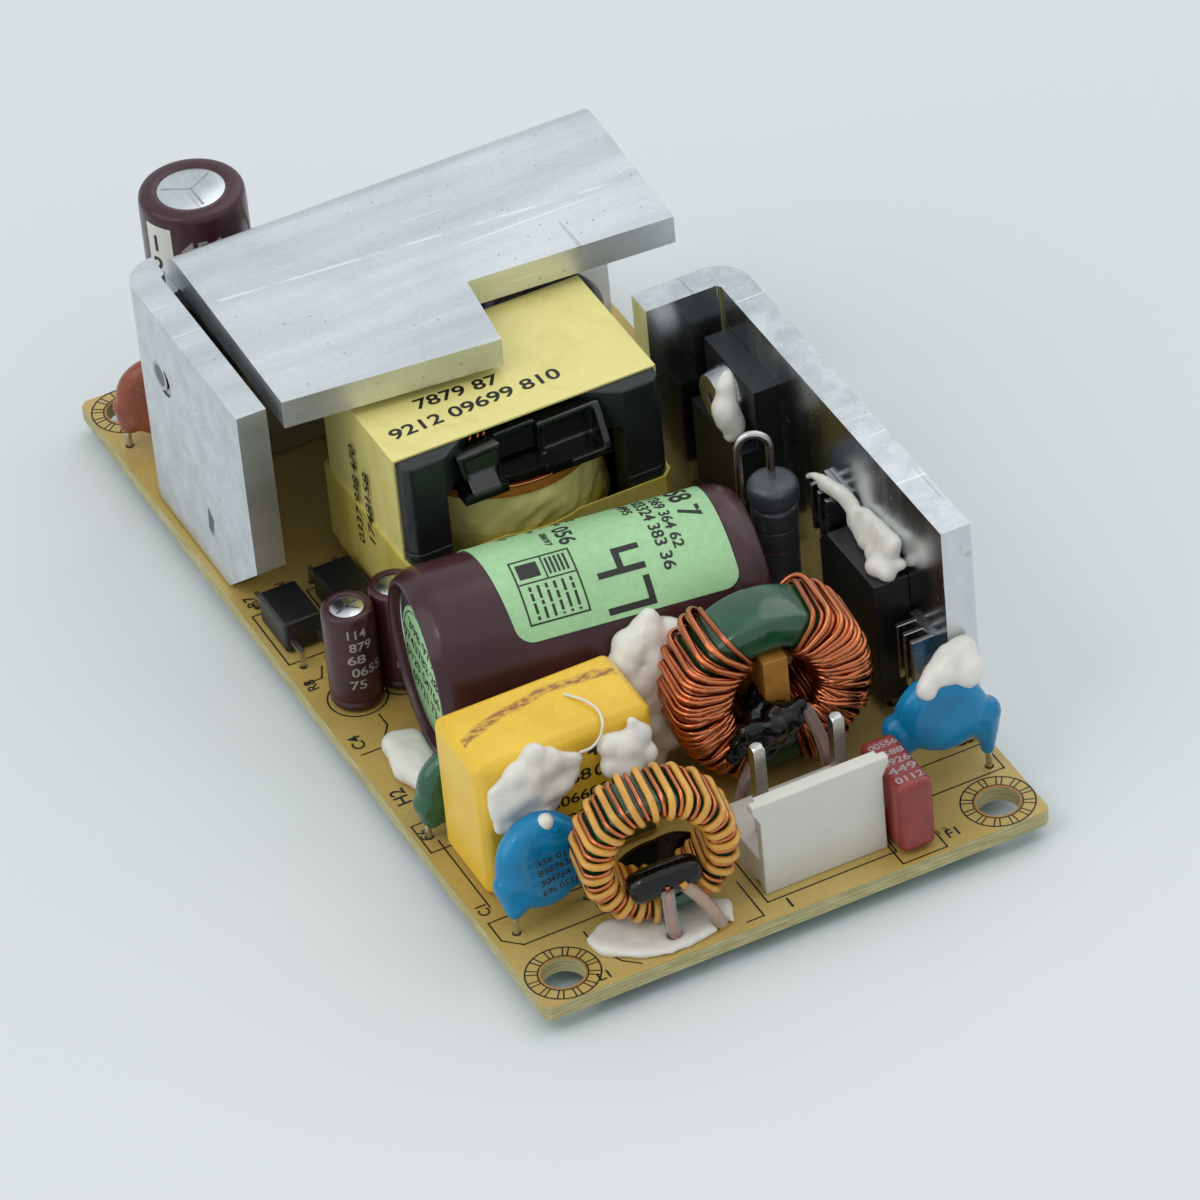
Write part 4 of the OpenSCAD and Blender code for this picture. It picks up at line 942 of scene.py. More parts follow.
class SUPPLY_PG_settings(bpy.types.PropertyGroup):
    """Sizes that change the looks and leave the solid model alone."""
    sheet_roll: bpy.props.FloatProperty(
        name="Sheet edge", description="Roll of the heatsinks' edges",
        default=0.28 * MM, **DISTANCE)
    case_roll: bpy.props.FloatProperty(
        name="Case edge", description="Roll of the moulded parts' edges",
        default=0.16 * MM, **DISTANCE)
    silicone_voxel: bpy.props.FloatProperty(
        name="Silicone detail", description="Grid size of the adhesive's skin",
        default=0.22 * MM, **DISTANCE)
    wobble: bpy.props.FloatProperty(
        name="Winding wobble", description="Unevenness of the hand-laid turns, in radians",
        default=0.024)
    small_turns: bpy.props.IntProperty(
        name="Small choke turns", description="Yellow turns on the small choke",
        default=22, min=3)
    big_turns: bpy.props.IntProperty(
        name="Large choke turns", description="Inner turns on each side of the large choke",
        default=18, min=3)


# ---- Board ----

HOLES = [(sx * 21.9, sy * 47.3) for sx in (-1, 1) for sy in (-1, 1)]
HOLE_RADIUS = 2.02

# The standing cans: the place of each axis and the radius
TALL_CAN = ((-13.4, 44.5), 5.15)
SHORT_CAN = ((-3.4, 42.5), 4.1)
FRONT_CAN = ((-21.2, -3.3), 2.5)
REAR_CAN = ((-16.15, -2.75), 2.5)

# Outlines printed under the parts: whether each is closed, and its corners
OUTLINE_WIDTH = 0.17
OUTLINES = (
    # Input header, fuse, line disc
    (False, [(-2.1, -38.2), (-2.1, -48.5), (10.9, -48.5), (10.9, -38.2)]),
    (True, [(10.6, -41.5), (10.6, -50.3), (15.1, -50.3), (15.1, -41.5)]),
    (True, [(14.2, -43.5), (24.6, -43.5), (24.6, -39.5), (14.2, -39.5)]),
    # Neutral disc, small choke, film capacitor, thermistor
    (False, [(-14.2, -42.1), (-23.2, -42.1), (-24.7, -40.6), (-24.7, -37.9), (-14.2, -37.9)]),
    (False, [(-17.9, -43.4), (-17.9, -46.2), (-16.7, -48.6), (-15.4, -49.8)]),
    (False, [(-23.6, -36.0), (-23.6, -25.4)]),
    (False, [(-4.9, -49.9), (-3.2, -49.9), (-3.2, -44.6)]),
    (True, [(-24.9, -22.4), (-16.2, -22.4), (-16.2, -26.6), (-24.9, -26.6)]),
    (False, [(-23.4, -21.6), (-21.2, -21.6), (-20.4, -20.2)]),
    # Optocouplers and the parts beside them
    (True, [(-24.7, 4.2), (-24.7, 12.4), (-20.2, 12.4), (-20.2, 4.2)]),
    (True, [(-18.7, 4.9), (-18.7, 13.2), (-14.3, 13.2), (-14.3, 4.9)]),
    (False, [(-24.5, -11.0), (-22.4, -11.0), (-20.6, -8.4), (-20.6, -6.6)]),
    (False, [(-24.6, 0.9), (-22.9, 0.9), (-22.2, 2.4)]),
    # Output header, bridge rectifier, transistor
    (True, [(0.4, 40.2), (0.4, 49.3), (19.4, 49.3), (19.4, 40.2)]),
    (False, [(14.6, -36.6), (20.6, -36.6), (20.6, -20.2)]),
    (True, [(14.4, 8.9), (24.6, 8.9), (24.6, 12.2), (14.4, 12.2)]),
)
# Part designators: the words, x, y, the size and the turn
DESIGNATORS = (
    ("1", -0.9, -50.2, 1.9, 0), ("C4", -23.5, -10.2, 1.7, 90), ("C6", -23.9, -24.9, 1.3, 90),
    ("H2", -23.3, -19.4, 2.0, 90), ("R7", -23.4, 13.6, 1.5, 90), ("R8", -23.7, -0.4, 1.5, 90),
    ("L1", -19.6, -50.0, 1.5, 0), ("C1", -23.8, -36.9, 1.5, 90), ("F1", 15.7, -49.4, 1.6, 0),
    ("C3", 22.4, -38.8, 1.4, 0), ("L2", 0.6, -38.0, 1.4, 0), ("Q1", 14.4, 2.0, 1.5, 90),
    ("U1", -20.0, 14.2, 1.4, 90), ("L5", 17.2, 19.0, 1.5, 0), ("C9", -8.6, 49.0, 1.4, 0),
    ("0 1 2", 14.4, -48.5, 0.9, 0),
)


def build_board():
    dressed("circuit_board", "board")
    dressed("solder_joints", "solder")
    softened("control_chip_cases", "control_chips", 0.15, "package", "package_black")
    ink = Ink()
    for x, y in HOLES:
        for radius, width in ((3.42, 0.16), (2.28, 0.14)):
            ink.ring(x, y, radius, width)
    for closed, points in OUTLINES:
        ink.line(OUTLINE_WIDTH, points, closed)
    # Rings under the standing cans and the output choke
    for (x, y), radius in ((FRONT_CAN[0], 2.82), (REAR_CAN[0], 2.82), (TALL_CAN[0], 5.6),
                           (SHORT_CAN[0], 4.5), ((13.3, 26.7), 6.7)):
        ink.ring(x, y, radius, OUTLINE_WIDTH)
    for mark in DESIGNATORS:
        ink.text(*mark)
    pieces = [ink.piece("board_outline_print", "ink", flat_at(PRINT_Z))]
    # Two sets of ticks between the rings, a little apart, make pairs of strokes
    marks = round_mark_tree()
    for n, (x, y) in enumerate(HOLES):
        for k, start in enumerate((-0.085, 0.085)):
            ticks = marks.grown(f"ticks_{n}_{k}", {
                "Marks": 12, "From": 2.35 * MM, "To": 3.38 * MM, "Width": 0.14 * MM,
                "Start": start, "Finish": finish("ink")})
            ticks.data.transform(Matrix.Translation((x * MM, y * MM, PRINT_Z * MM)))
            pieces.append(ticks)
    kept(joined("board_print", pieces), "black_moulding")
    bare = Shape()
    rim = [(HOLE_RADIUS, BOARD_TOP - 0.02), (HOLE_RADIUS, BOARD_TOP + 0.01),
           (2.2, BOARD_TOP + 0.01), (2.2, BOARD_TOP - 0.02)]
    for x, y in HOLES:
        bare.lathe(rim, 48, 0, Matrix.Translation((x, y, 0)))
    kept(bare.piece("hole_rims", "tan_card", outward=False), "tan_card")


# ---- Heatsinks ----

# Just outside the left wall's outer face
WALL_FACE, WALL_MARK = -24.66, -24.72


def build_heatsinks(settings):
    roll = settings.sheet_roll / MM
    softened("output_heatsink_sheet", "output_heatsink", roll, "aluminium_top",
             "aluminium_sheet", 3)
    softened("input_heatsink_sheet", "input_heatsink", roll, "aluminium_side",
             "aluminium_sheet", 3)
    marks = Shape()
    # The tapped hole: its rim, and a black disc that is painted shade for the hole's depth
    into_wall = (Matrix.Translation((WALL_FACE, 28.6, 19.5))
                 @ Matrix.Rotation(-QUARTER, 4, "Y"))
    marks.lathe([(1.1, 0), (1.16, 0.06), (1.5, 0.06), (1.56, 0)], 40, 0, into_wall)
    marks.lathe([(0, 0.0), (1.12, 0.0), (1.12, 0.045), (0, 0.045)], 40, 1, into_wall)
    # Grey patch over the wall's dent: painted shade in the dent
    dent = ((19.2, 8.5), (20.4, 9.3), (20.7, 6.6), (19.9, 6.2))
    marks.prism([(WALL_MARK, y, z) for y, z in dent], [(WALL_FACE, y, z) for y, z in dent], 2)
    kept(marks.piece("sheet_marks", ["steel", "potting", "dent_shade"]), "steel")


# ---- Transformer ----

CENTRE = (-0.42, 7.8)
AT_CENTRE = Matrix.Translation((*CENTRE, 0))
# Print on the tape: its height on top and its place across on the left side
TAPE_TOP, TAPE_LEFT = 24.03, -14.07
# The bobbin's moulding ends here, and the wire guides stand over it
BOBBIN_TOP = 19.32


def winding_wrap():
    """Film wrapped round the winding, drawn in and creased towards its top."""
    columns, rows = 144, 22
    low, high, lip = 9.12, 18.25, 0.9
    inner, outer = 7.2, 10.38
    verts = []
    for j in range(rows + 1):
        v = j / rows
        for i in range(columns):
            a = FULL_TURN * i / columns
            at = Vector((math.cos(a) * 3.2, math.sin(a) * 3.2, v * 1.7))
            crease = noise.noise(Vector((a * 2.6 + v * 1.6, v * 1.9, 2.5))) * 0.55
            crease -= abs(noise.noise(Vector((a * 5.0 - v * 3.4, v * 2.6, 7.5)))) * 0.5
            r = 10.15 - 0.9 * max(0, v - 0.75) ** 1.2 * 4 + crease
            r = min(outer, r + noise.noise(at) * 0.08)
            around = Vector((math.cos(a) * 2, math.sin(a) * 2, 1.0))
            sag = noise.noise(around) * 0.5 * v
            z = low + (high - 0.95 - low) * v + sag
            verts.append((r * math.cos(a), r * math.sin(a), z))
    # The last two rows run inwards and down again, and the grid closes on its first row
    verts += [(x, y, z) for z in (high - lip, low) for x, y in circle(inner, columns)]
    shape = Shape().add(verts, grid(rows + 3, columns, True))
    return shape.piece("winding_wrap", "tape", AT_CENTRE, 60)


# Outlines of the wire guides' upright plates, seen from the front, with their depths
GUIDE_PLATES = (
    # Left ear and its raised rim
    ([(-8.2, 22.9), (-3.8, 23.1), (-3.9, 20.4), (-4.6, 18.8), (-7.2, 18.8), (-7.6, 20.4)],
     -0.4, -1.5),
    ([(-8.2, 22.9), (-3.8, 23.1), (-3.8, 22.6), (-7.7, 22.4), (-7.2, 20.2), (-7.7, 20.2)],
     -1.3, -1.85),
    # Wall between the ears
    ([(-4.2, 22.7), (1.0, 22.8), (1.0, 19.6), (-4.2, 19.6)], 0.9, 0.1),
    ([(-4.2, 22.9), (1.0, 23.0), (1.0, 22.4), (-4.2, 22.3)], 0.9, -0.2),
    # Right ear: a pocket with a rim
    ([(0.3, 23.0), (6.2, 23.1), (6.6, 19.4), (0.3, 19.2)], 0.5, -0.4),
    ([(0.3, 23.0), (6.2, 23.1), (6.2, 22.5), (0.3, 22.4)], -0.2, -1.1),
)
# Sections of their bars along X, seen from the side, with their ends
GUIDE_BARS = (
    # Left ear's pointed foot, then the wall's left end
    ([(-0.8, 18.5), (-3.1, 18.6), (-3.1, 19.2), (-1.6, 20.4), (-0.8, 20.4)], -7.4, -4.5),
    ([(0.9, 19.0), (-1.5, 19.0), (-1.5, 22.9), (0.9, 22.9)], -4.5, -3.8),
    # Right ear: two side walls and a lower flange in two depths
    ([(0.5, 18.9), (-0.9, 18.9), (-1.1, 23.0), (0.5, 23.0)], 0.3, 0.95),
    ([(0.5, 18.6), (-3.1, 18.6), (-3.0, 19.6), (-1.1, 23.1), (0.5, 23.1)], 6.0, 6.75),
    ([(0.5, 18.4), (-3.1, 18.5), (-3.1, 19.2), (0.5, 19.5)], 2.6, 6.75),
    ([(0.5, 18.4), (-2.2, 18.5), (-2.2, 19.2), (0.5, 19.5)], 0.6, 3.4),
)


def wire_guides():
    """Two ears in the core's front notch, with the wall that joins them."""
    shape = Shape()
    for points, rear, front in GUIDE_PLATES:
        shape.prism([(x, front, z) for x, z in points], [(x, rear, z) for x, z in points])
    for points, left, right in GUIDE_BARS:
        shape.prism([(left, y, z) for y, z in points], [(right, y, z) for y, z in points])
    return shape


def build_transformer(settings):
    for side in ("upper", "lower"):
        softened(f"core_half_{side}", f"transformer_core_{side}", 0.3, "ferrite", "ferrite")
    softened("bobbin_moulding", "transformer_bobbin", settings.case_roll / MM, "moulding",
             "black_moulding", 3, top=BOBBIN_TOP)
    ears = dipped("bobbin_ears", [], 0.13, 3, "moulding", extra=wire_guides())
    kept(ears, "black_moulding")
    kept(winding_wrap(), "yellow_tape", "transformer_winding")
    wire = Shape()
    # Bare turns that show over the film
    for r, z in ((9.75, 18.02), (9.35, 18.05), (9.98, 17.75), (8.95, 18.05)):
        path = []
        for k in range(72):
            a = FULL_TURN * k / 72
            wave = 0.05 * math.sin(5 * a + r)
            path.append((CENTRE[0] + (r + wave) * math.cos(a),
                         CENTRE[1] + (r + wave) * math.sin(a), z))
        wire.tube(path, 0.22, 8, 0, True)
    # Ends that run up through the left guide
    for x in (-6.1, -5.3, -4.7):
        loop = eased([(x, 0.9, 19.0), (x + 0.1, 0.2, 22.6), (x + 0.3, 0.3, 23.3),
                      (x + 0.5, 1.0, 22.8)], 0.5, 5)
        wire.tube(loop, 0.16, 8)
    # Amber film between the turns and the wrap
    wire.lathe([(9.0, 16.4), (9.9, 16.4), (10.0, 17.4), (9.8, 18.2), (9.0, 18.2)], 96, 1,
               AT_CENTRE)
    kept(wire.piece("winding_wires", ["copper_wire", "amber"], smooth=80), "copper_wire")
    dressed("transformer_tape", "tape")
    dressed("transformer_pins", "tinned")
    rng = random.Random(11)
    over = Ink(rng=rng).rows((-8.6, 5.55, 8.4, 1.45, -3), (-12.4, 2.6, 17.4, 1.5, 1))
    top = over.piece("tape_print_top", "ink", flat_at(TAPE_TOP))
    side = Ink(rng=rng).rows((8.2, 1.4, 11.5, 1.25), (9.6, -1.2, 8.5, 1.25))
    left = side.piece("tape_print_side", "ink", lambda u, v: (TAPE_LEFT, 7.2 + v, u))
    kept(joined("tape_print", [top, left]), "black_moulding")


# ---- Bulk capacitor ----

BULK = (-3.41, -16.26, 12.0)
BULK_HALF = 16.1
BULK_RADIUS = 9.0
# X along the can's axis, and Z along it
BULK_PLACE = stood(BULK, -7.85)
BULK_TURNED = BULK_PLACE @ Matrix.Rotation(QUARTER, 4, "Y")
# The metal end, within the sleeve's rim
BULK_END = -BULK_HALF + 1.2
# Radii of the label's two faces and of its print
LABEL_UNDER, LABEL_OVER, LABEL_PRINT = 9.04, 9.13, 9.165


def bulk_wrap(radius):
    """Maps (place along the can, arc length from the top towards the front) on to it."""

    def mapping(u, v):
        a = v / BULK_RADIUS
        return BULK_PLACE @ Vector((u, -radius * math.sin(a), radius * math.cos(a)))
    return mapping


def label_sheet():
    """Label with rounded corners, bent over the can."""
    left, right, skew, corner = -8.0, 13.1, 1.7, 1.5
    back, front = -math.radians(70) * BULK_RADIUS, math.radians(54) * BULK_RADIUS
    columns, bends, inner = 12, 6, 26
    rows = [back + corner * (1 - math.cos(QUARTER * k / bends)) for k in range(bends)]
    rows += [back + corner + (front - back - 2 * corner) * k / inner
             for k in range(inner + 1)]
    rows += [front - corner * (1 - math.sin(QUARTER * k / bends))
             for k in range(1, bends + 1)]
    verts, faces = [], []
    for v in rows:
        gap = max(0.0, corner - min(v - back, front - v))
        inset = corner - math.sqrt(max(0.0, corner ** 2 - gap ** 2))
        start = left + inset - skew * (front - v) / (front - back)
        for wrap in (bulk_wrap(LABEL_UNDER), bulk_wrap(LABEL_OVER)):
            for i in range(columns + 1):
                verts.append(wrap(start + (right - inset - start) * i / columns, v))
    # Each row holds the points of the under face, then those of the upper face
    wide = columns + 1
    last = len(rows) - 1
    for j in range(last):
        row = j * 2 * wide
        for a in range(row, row + columns):
            b = a + 2 * wide
            faces.append([a, b, b + 1, a + 1])
            faces.append([a + wide, a + wide + 1, b + wide + 1, b + wide])
        for a in (row, row + columns):
            b = a + 2 * wide
            faces.append([a, a + wide, b + wide, b])
    for row in (0, last * 2 * wide):
        faces += [[a, a + 1, a + wide + 1, a + wide] for a in range(row, row + columns)]
    return Shape().add(verts, faces).piece("rating_label_sheet", "label", smooth=50)


def label_print():
    """Rows of figures, a large number, a boxed table and a ruled block."""
    rng = random.Random(5)
    ink = Ink(0.7)

    def row(s, start, length, height):
        """Writing runs round the can, so the row is laid out and then turned."""
        line = Ink(0.7, rng).rows((0, 0, length, height))
        for patch in line.patches:
            ink.patches.append([(s + v, start + u) for u, v in patch])
    row(9.9, -8.8, 9.6, 2.0)
    row(8.2, -8.2, 11.8, 1.0)
    row(6.7, -9.2, 14.6, 1.1)
    row(5.3, -9.2, 7.0, 0.9)
    # The large number: each figure's start and its bars, in shares of its box
    stroke, tall, wide, foot = 0.62, 3.9, 2.1, 0.9
    for start, marks in ((2.2, ((0, 0.5, 0, 1), (0, 0.5, 1, 0.5), (1, 0, 1, 1))),
                         (5.6, ((0, 1, 1, 1), (1, 0, 1, 1)))):
        for u0, v0, u1, v1 in marks:
            ink.bar(foot + v0 * tall - stroke / 2, start + u0 * wide - stroke / 2,
                    foot + v1 * tall + stroke / 2, start + u1 * wide + stroke / 2)
    row(0.6, -9.2, 4.4, 0.8)
    # The boxed table
    ink.line(0.16, [(-1.0, 0.4), (-1.0, 7.0), (-6.6, 7.0), (-6.6, 0.4)], True)
    ink.line(0.14, [(-1.0, 3.1), (-6.6, 3.1)])
    ink.line(0.14, [(-3.7, 0.4), (-3.7, 3.1)])
    for n in range(5):
        ink.bar(-1.5 - 0.42 * n, 0.8, -1.72 - 0.42 * n, 2.7)
    ink.bar(-4.2, 0.9, -6.2, 2.6)
    row(-1.3, -3.6, 3.4, 1.5)
    row(-2.6, -3.2, 2.6, 0.6)
    for n in range(6):
        row(-1.9 - 0.78 * n, 3.5, 3.2, 0.36)
    for n in range(5):
        row(-0.6 - 1.3 * n, -9.0, 4.6 - n % 2, 0.55)
    return ink.piece("rating_label_print", "ink", bulk_wrap(LABEL_PRINT))


def build_bulk():
    half, radius, end = BULK_HALF, BULK_RADIUS, BULK_END
    # Sleeve: the rolled rim, the wall with its groove, the closed end
    profile = eased([
        (7.55, -half + 1.15), (7.55, -half + 0.35), (7.8, -half), (8.15, -half),
        (radius, -half + 1.35), (radius, half - 4.9), (8.5, half - 4.0), (radius, half - 3.1),
        (radius, half - 1.3), (8.2, half), (7.3, half), (6.9, half - 0.45), (0, half - 0.5)],
        0.9, 5)
    floor = [(0, -half + 1.15), (7.5, -half + 1.15)]
    can = Shape().lathe(floor + [tuple(p) for p in profile], 96, 0, BULK_TURNED)
    kept(can.piece("bulk_can_sleeve", "sleeve", smooth=50), "maroon_sleeve", "bulk_capacitor")
    metal = Shape().lathe([
        (0, end - 0.28), (6.9, end - 0.28), (7.15, end - 0.16), (7.3, end - 0.28),
        (7.5, end - 0.2), (7.6, end), (0, end)], 96, 0, BULK_TURNED)
    kept(metal.piece("bulk_can_end", "can_end", smooth=40), "can_metal", "bulk_capacitor_end")
    # The sticker sits low on the end, with its print just over its face
    drop, face = 0.9, end - 0.42
    sticker = Shape().lathe([
        (0, face), (6.25, face), (6.3, end - 0.38), (6.3, end - 0.3), (0, end - 0.3)],
        64, 0, BULK_TURNED @ Matrix.Translation((drop, 0, 0)))
    kept(sticker.piece("end_sticker_disc", "label", smooth=40), "green_label", "end_sticker")
    ink = Ink(rng=random.Random(3))
    for n, (x, length) in enumerate(((-4.0, 7.4), (-6.0, 11.0), (-5.6, 9.6), (-4.4, 8.2))):
        ink.rows((x, 2.6 - 2.1 * n, length, 1.2))
    ink.ring(0, 0, 5.8, 0.14)
    marks = ink.piece("end_sticker_print", "ink",
                      lambda u, v: BULK_PLACE @ Vector((face - 0.015, -u, v - drop)))
    kept(marks, "black_moulding")
    kept(label_sheet(), "green_label", "rating_label")
    kept(label_print(), "black_moulding")


# ---- Box and disc capacitors ----

def build_box_capacitor():
    softened("film_capacitor_box", "x_capacitor", 0.35, "yellow_box", "yellow_box", 3)
    ink = Ink(rng=random.Random(21)).rows(
        (-16.8, 14.0, 3.0, 1.1), (-12.4, 13.6, 5.6, 1.3), (-15.6, 11.3, 3.4, 1.2),
        (-11.9, 11.2, 5.6, 1.25), (-16.4, 9.1, 9.8, 1.1), (-16.4, 7.0, 5.4, 1.0))
    ink.ring(-8.2, 7.4, 0.8, 0.16).rows((-21.6, 5.4, 12.6, 1.0)).bar(-21.8, 3.4, -12.0, 3.6)
    front = -35.315
    kept(ink.piece("film_capacitor_print", "ink", lambda u, v: (u, front, v)),
         "black_moulding")


NEUTRAL_DISC = ((-19.3, -39.9), 7, 4.5, 2.8, 7.7, 7.6, 13)
# The node, the finish and the slot of each disc, and its form: its place, its turn, its
# radius, its thickness, the height of its middle, the pitch of its leads and its lean
DISCS = {
    "line_disc_bead": ("line_y_capacitor", "blue", "blue_epoxy",
                       ((19.6, -41.6), -14, 4.1, 3, 9.2, 8.2, 0)),
    "neutral_disc_bead": ("neutral_y_capacitor", "blue", "blue_epoxy", NEUTRAL_DISC),
    "rear_disc_bead": ("rear_disc_capacitor", "rust", "rust_epoxy",
                       ((-20.5, 40.6), -25, 4.4, 2.4, 7.3, 7.5, 0)),
    "thermistor_bead": ("thermistor", "green_bead", "green_epoxy",
                        ((-20.6, -24.5), 0, 4.2, 2.4, 6.6, 7, 0)),
}


def disc_skirt(place, turn, r, t, z, pitch, lean):
    """The coating's tails, which run from the disc's shoulders down both leads."""
    shape = Shape()
    foot = 3.4
    stand = stood((*place, foot), turn, -lean)
    up = z - foot
    for side in (-1, 1):
        end = (side * pitch / 2, 0, 0.0)
        tail = [(side * 0.1 * r, 0, up + 0.1 * r), (side * 0.62 * r, 0, up - 0.42 * r),
                (side * pitch * 0.46, 0, up - 0.8 * r), end]
        shoulder = [(side * 0.3 * r, 0, up + 0.62 * r), (side * 0.36 * pitch, 0, up + 0.22 * r),
                    (side * 0.44 * pitch, 0, up - 0.4 * r), end]
        for points, thick in ((tail, 0.5), (shoulder, 0.47)):
            path = eased(points, 1.8, 6)
            count = len(path) - 1
            sizes = [t * thick * (1 - 0.62 * (k / count) ** 1.6) for k in range(count + 1)]
            shape.tube([stand @ p for p in path], sizes, 16)
    return shape


def build_discs():
    for name, (node, finish_name, slot, form) in DISCS.items():
        bead = dipped(name, [node], 0.17, 26, finish_name, rough=0.05, seed=len(name),
                      extra=disc_skirt(*form), growth=0.08)
        kept(bead, slot, node)
    dressed("disc_leads", "tinned")
    ink = Ink(rng=random.Random(8)).rows(*((-2.3, 0.9 - 1.0 * n, 3.8, 0.6) for n in range(4)))
    place, turn, _, thickness, z, _, lean = NEUTRAL_DISC
    face, front = stood((*place, z), turn, -lean), -thickness / 2 - 0.04
    kept(ink.piece("disc_print", "ink", lambda u, v: face @ Vector((u + 0.6, front, v))),
         "black_moulding")


# ---- Chokes ----

# A ring that lies in the XY plane, stood up to face the input edge
SMALL_RING = stood((-10.75, -44.58, 9.74), -10.9, 90)
BIG_RING = stood((7.1, -31.5, 11.7), -5.7, 90)


def ring_core(inner, outer, height, corner):
    """Rounded ring section, closed."""
    around, points = 96, 28
    mid, half_w, half_h = (inner + outer) / 2, (outer - inner) / 2, height / 2
    section = []
    for c, s in circle(1.0, points):
        across = math.copysign(max(0, half_w - corner), c) + corner * c
        upward = math.copysign(max(0, half_h - corner), s) + corner * s
        section.append((mid + across if abs(c) > 1e-6 else mid, upward if abs(s) > 1e-6 else 0))
    verts = []
    for i in range(around):
        a = FULL_TURN * i / around
        verts += [(r * math.cos(a), r * math.sin(a), z) for r, z in section]
    return Shape().add(verts, grid(around, points, True))


def wound(tree, name, finish_name, matrix, turns, start, end, section, wire, corner, lean,
          skew, wobble, seed):
    """Turns of wire of a diameter over a section (inner radius, outer radius, height).

    Lengths are in millimetres; start, end, lean and skew are in degrees."""
    inner, outer, height = section
    radius = wire / 2
    piece = tree.grown(name, {
        "Turns": turns, "From": math.radians(start), "To": math.radians(end),
        "Inner": (inner - radius) * MM, "Outer": (outer + radius) * MM,
        "Height": (height + wire) * MM, "Wire": radius * MM, "Corner": corner * MM,
        "Lean": math.radians(lean), "Skew": math.radians(skew), "Wobble": wobble,
        "Seed": seed, "Finish": finish(finish_name)})
    scaled = matrix.copy()
    scaled.translation *= MM
    piece.data.transform(scaled)
    piece.data.update()
    return piece


def sleeved(shape, start, end, bow, wire=0.26, kind=1):
    """Clear tube from a winding down to the board, with its wire inside."""
    a, b = Vector(start), Vector(end)
    path = [a.lerp(b, k / 8) + Vector(bow) * math.sin(math.pi * (k / 8)) for k in range(9)]
    shape.tube(path, 0.62, 14, 0)
    into_winding = a - (b - a).normalized() * 0.6
    shape.tube([into_winding] + path + [b + Vector((0, 0, -1)) * 0.5], wire, 10, kind)


def build_small_choke(settings):
    tree = winding_tree()
    core = ring_core(4.9, 6.7, 4.8, 0.7).piece("small_ring", "core_green", SMALL_RING, 60)
    kept(core, "green_epoxy", "small_choke_core")
    turns, wobble = settings.small_turns, settings.wobble
    first, last = 302, 622
    step = (last - first) / (turns - 1)
    yellow = wound(tree, "small_ring_yellow_wire", "yellow_wire", SMALL_RING, turns,
                   first, last, (4.85, 6.75, 4.9), wire=0.7, corner=1.15, lean=3.0,
                   skew=2.0, wobble=wobble, seed=4)
    kept(yellow, "yellow_wire", "small_choke_yellow_winding")
    # The copper turns lie between the yellow ones
    copper = wound(tree, "small_ring_copper_wire", "copper_wire", SMALL_RING, turns - 1,
                   first + step / 2, last - step / 2, (4.72, 6.8, 4.9), wire=0.44,
                   corner=1.1, lean=3.0, skew=4.0, wobble=wobble, seed=9)
    kept(copper, "copper_wire", "small_choke_copper_winding")
    bead = Shape()
    path = [Vector((x, -2.05 + 0.17 * x + 0.2 * math.cos(x * 0.7), 2.6))
            for x in (-3.3, -3.15, -2.7, -1.8, -0.6, 0.6, 1.8, 2.7, 3.1, 3.25)]
    bead.tube(path, [0.8, 1.2, 1.45, 1.5, 1.45, 1.42, 1.48, 1.35, 1.1, 0.8], 24)
    kept(bead.piece("small_ring_black_sleeve", "potting", SMALL_RING, 60), "black_epoxy",
         "small_choke_epoxy")
    tubes = Shape()
    sleeved(tubes, (-11.6, -48.45, 7.4), (-11.3, -48.5, 2.1), (-0.15, -0.1, 0))
    sleeved(tubes, (-10.0, -48.7, 7.4), (-7.1, -49.3, 2.1), (0.2, -0.1, 0.2), 0.4, 2)
    kept(tubes.piece("small_ring_leads", ["clear", "copper_wire", "yellow_wire"], smooth=60),
         "clear_sleeve", "small_choke_sleeves")
    # A thin black patch on the board behind the ring: painted shade, so that the bore shows dark
    shade_patch = Shape()
    for x, y, wide, deep in ((-7.6, -38.4, 4.6, 2.9), (-10.4, -40.0, 4.8, 2.9),
                             (-12.2, -41.2, 3.2, 2.0), (-5.9, -37.6, 2.6, 2.2)):
        spread = (Matrix.Translation((x, y, BOARD_TOP + 0.02))
                  @ Matrix.Diagonal((wide, deep, 1, 1)))
        shade_patch.lathe([(0, 0), (1, 0), (0.97, 0.12), (0.8, 0.2), (0, 0.24)], 48, 0, spread)
    kept(shade_patch.piece("painted_shade_patch", "potting", smooth=60), "black_epoxy")


# Layers of each side of the large choke: the name, the finish, the section, the corner, the
# lean and the skew in degrees, the wobble's share and the seed's step
BIG_LAYERS = (
    ("low", "dark_copper", (4.75, 8.55, 6.1), 1.3, 4.0, 3.0, 0.6, 0),
    ("high", "copper_wire", (4.35, 8.95, 6.9), 1.6, 2.0, 11.0, 1.0, 5),
    ("outer", "copper_wire", (4.5, 9.25, 7.3), 1.9, -2.0, 16.0, 0.8, 9),
    ("stray", "copper_wire", (4.4, 9.1, 7.2), 1.9, 6.0, -8.0, 2.0, 12),
)
# Lumps of epoxy in the large ring and at its foot: x, y, z and the radius
EPOXY_LUMPS = (
    (2.2, -36.2, 9.0, 1.2), (3.6, -36.4, 9.4, 1.6), (5.2, -36.5, 10.0, 1.8),
    (6.9, -36.6, 10.6, 1.4), (4.6, -36.3, 8.0, 1.4), (6.4, -36.6, 8.8, 1.2),
    (2.9, -36.1, 10.4, 1.0), (7.9, -36.6, 11.4, 0.8), (1.4, -36.0, 8.0, 0.8),
    (5.6, -36.2, 11.6, 0.9),
)


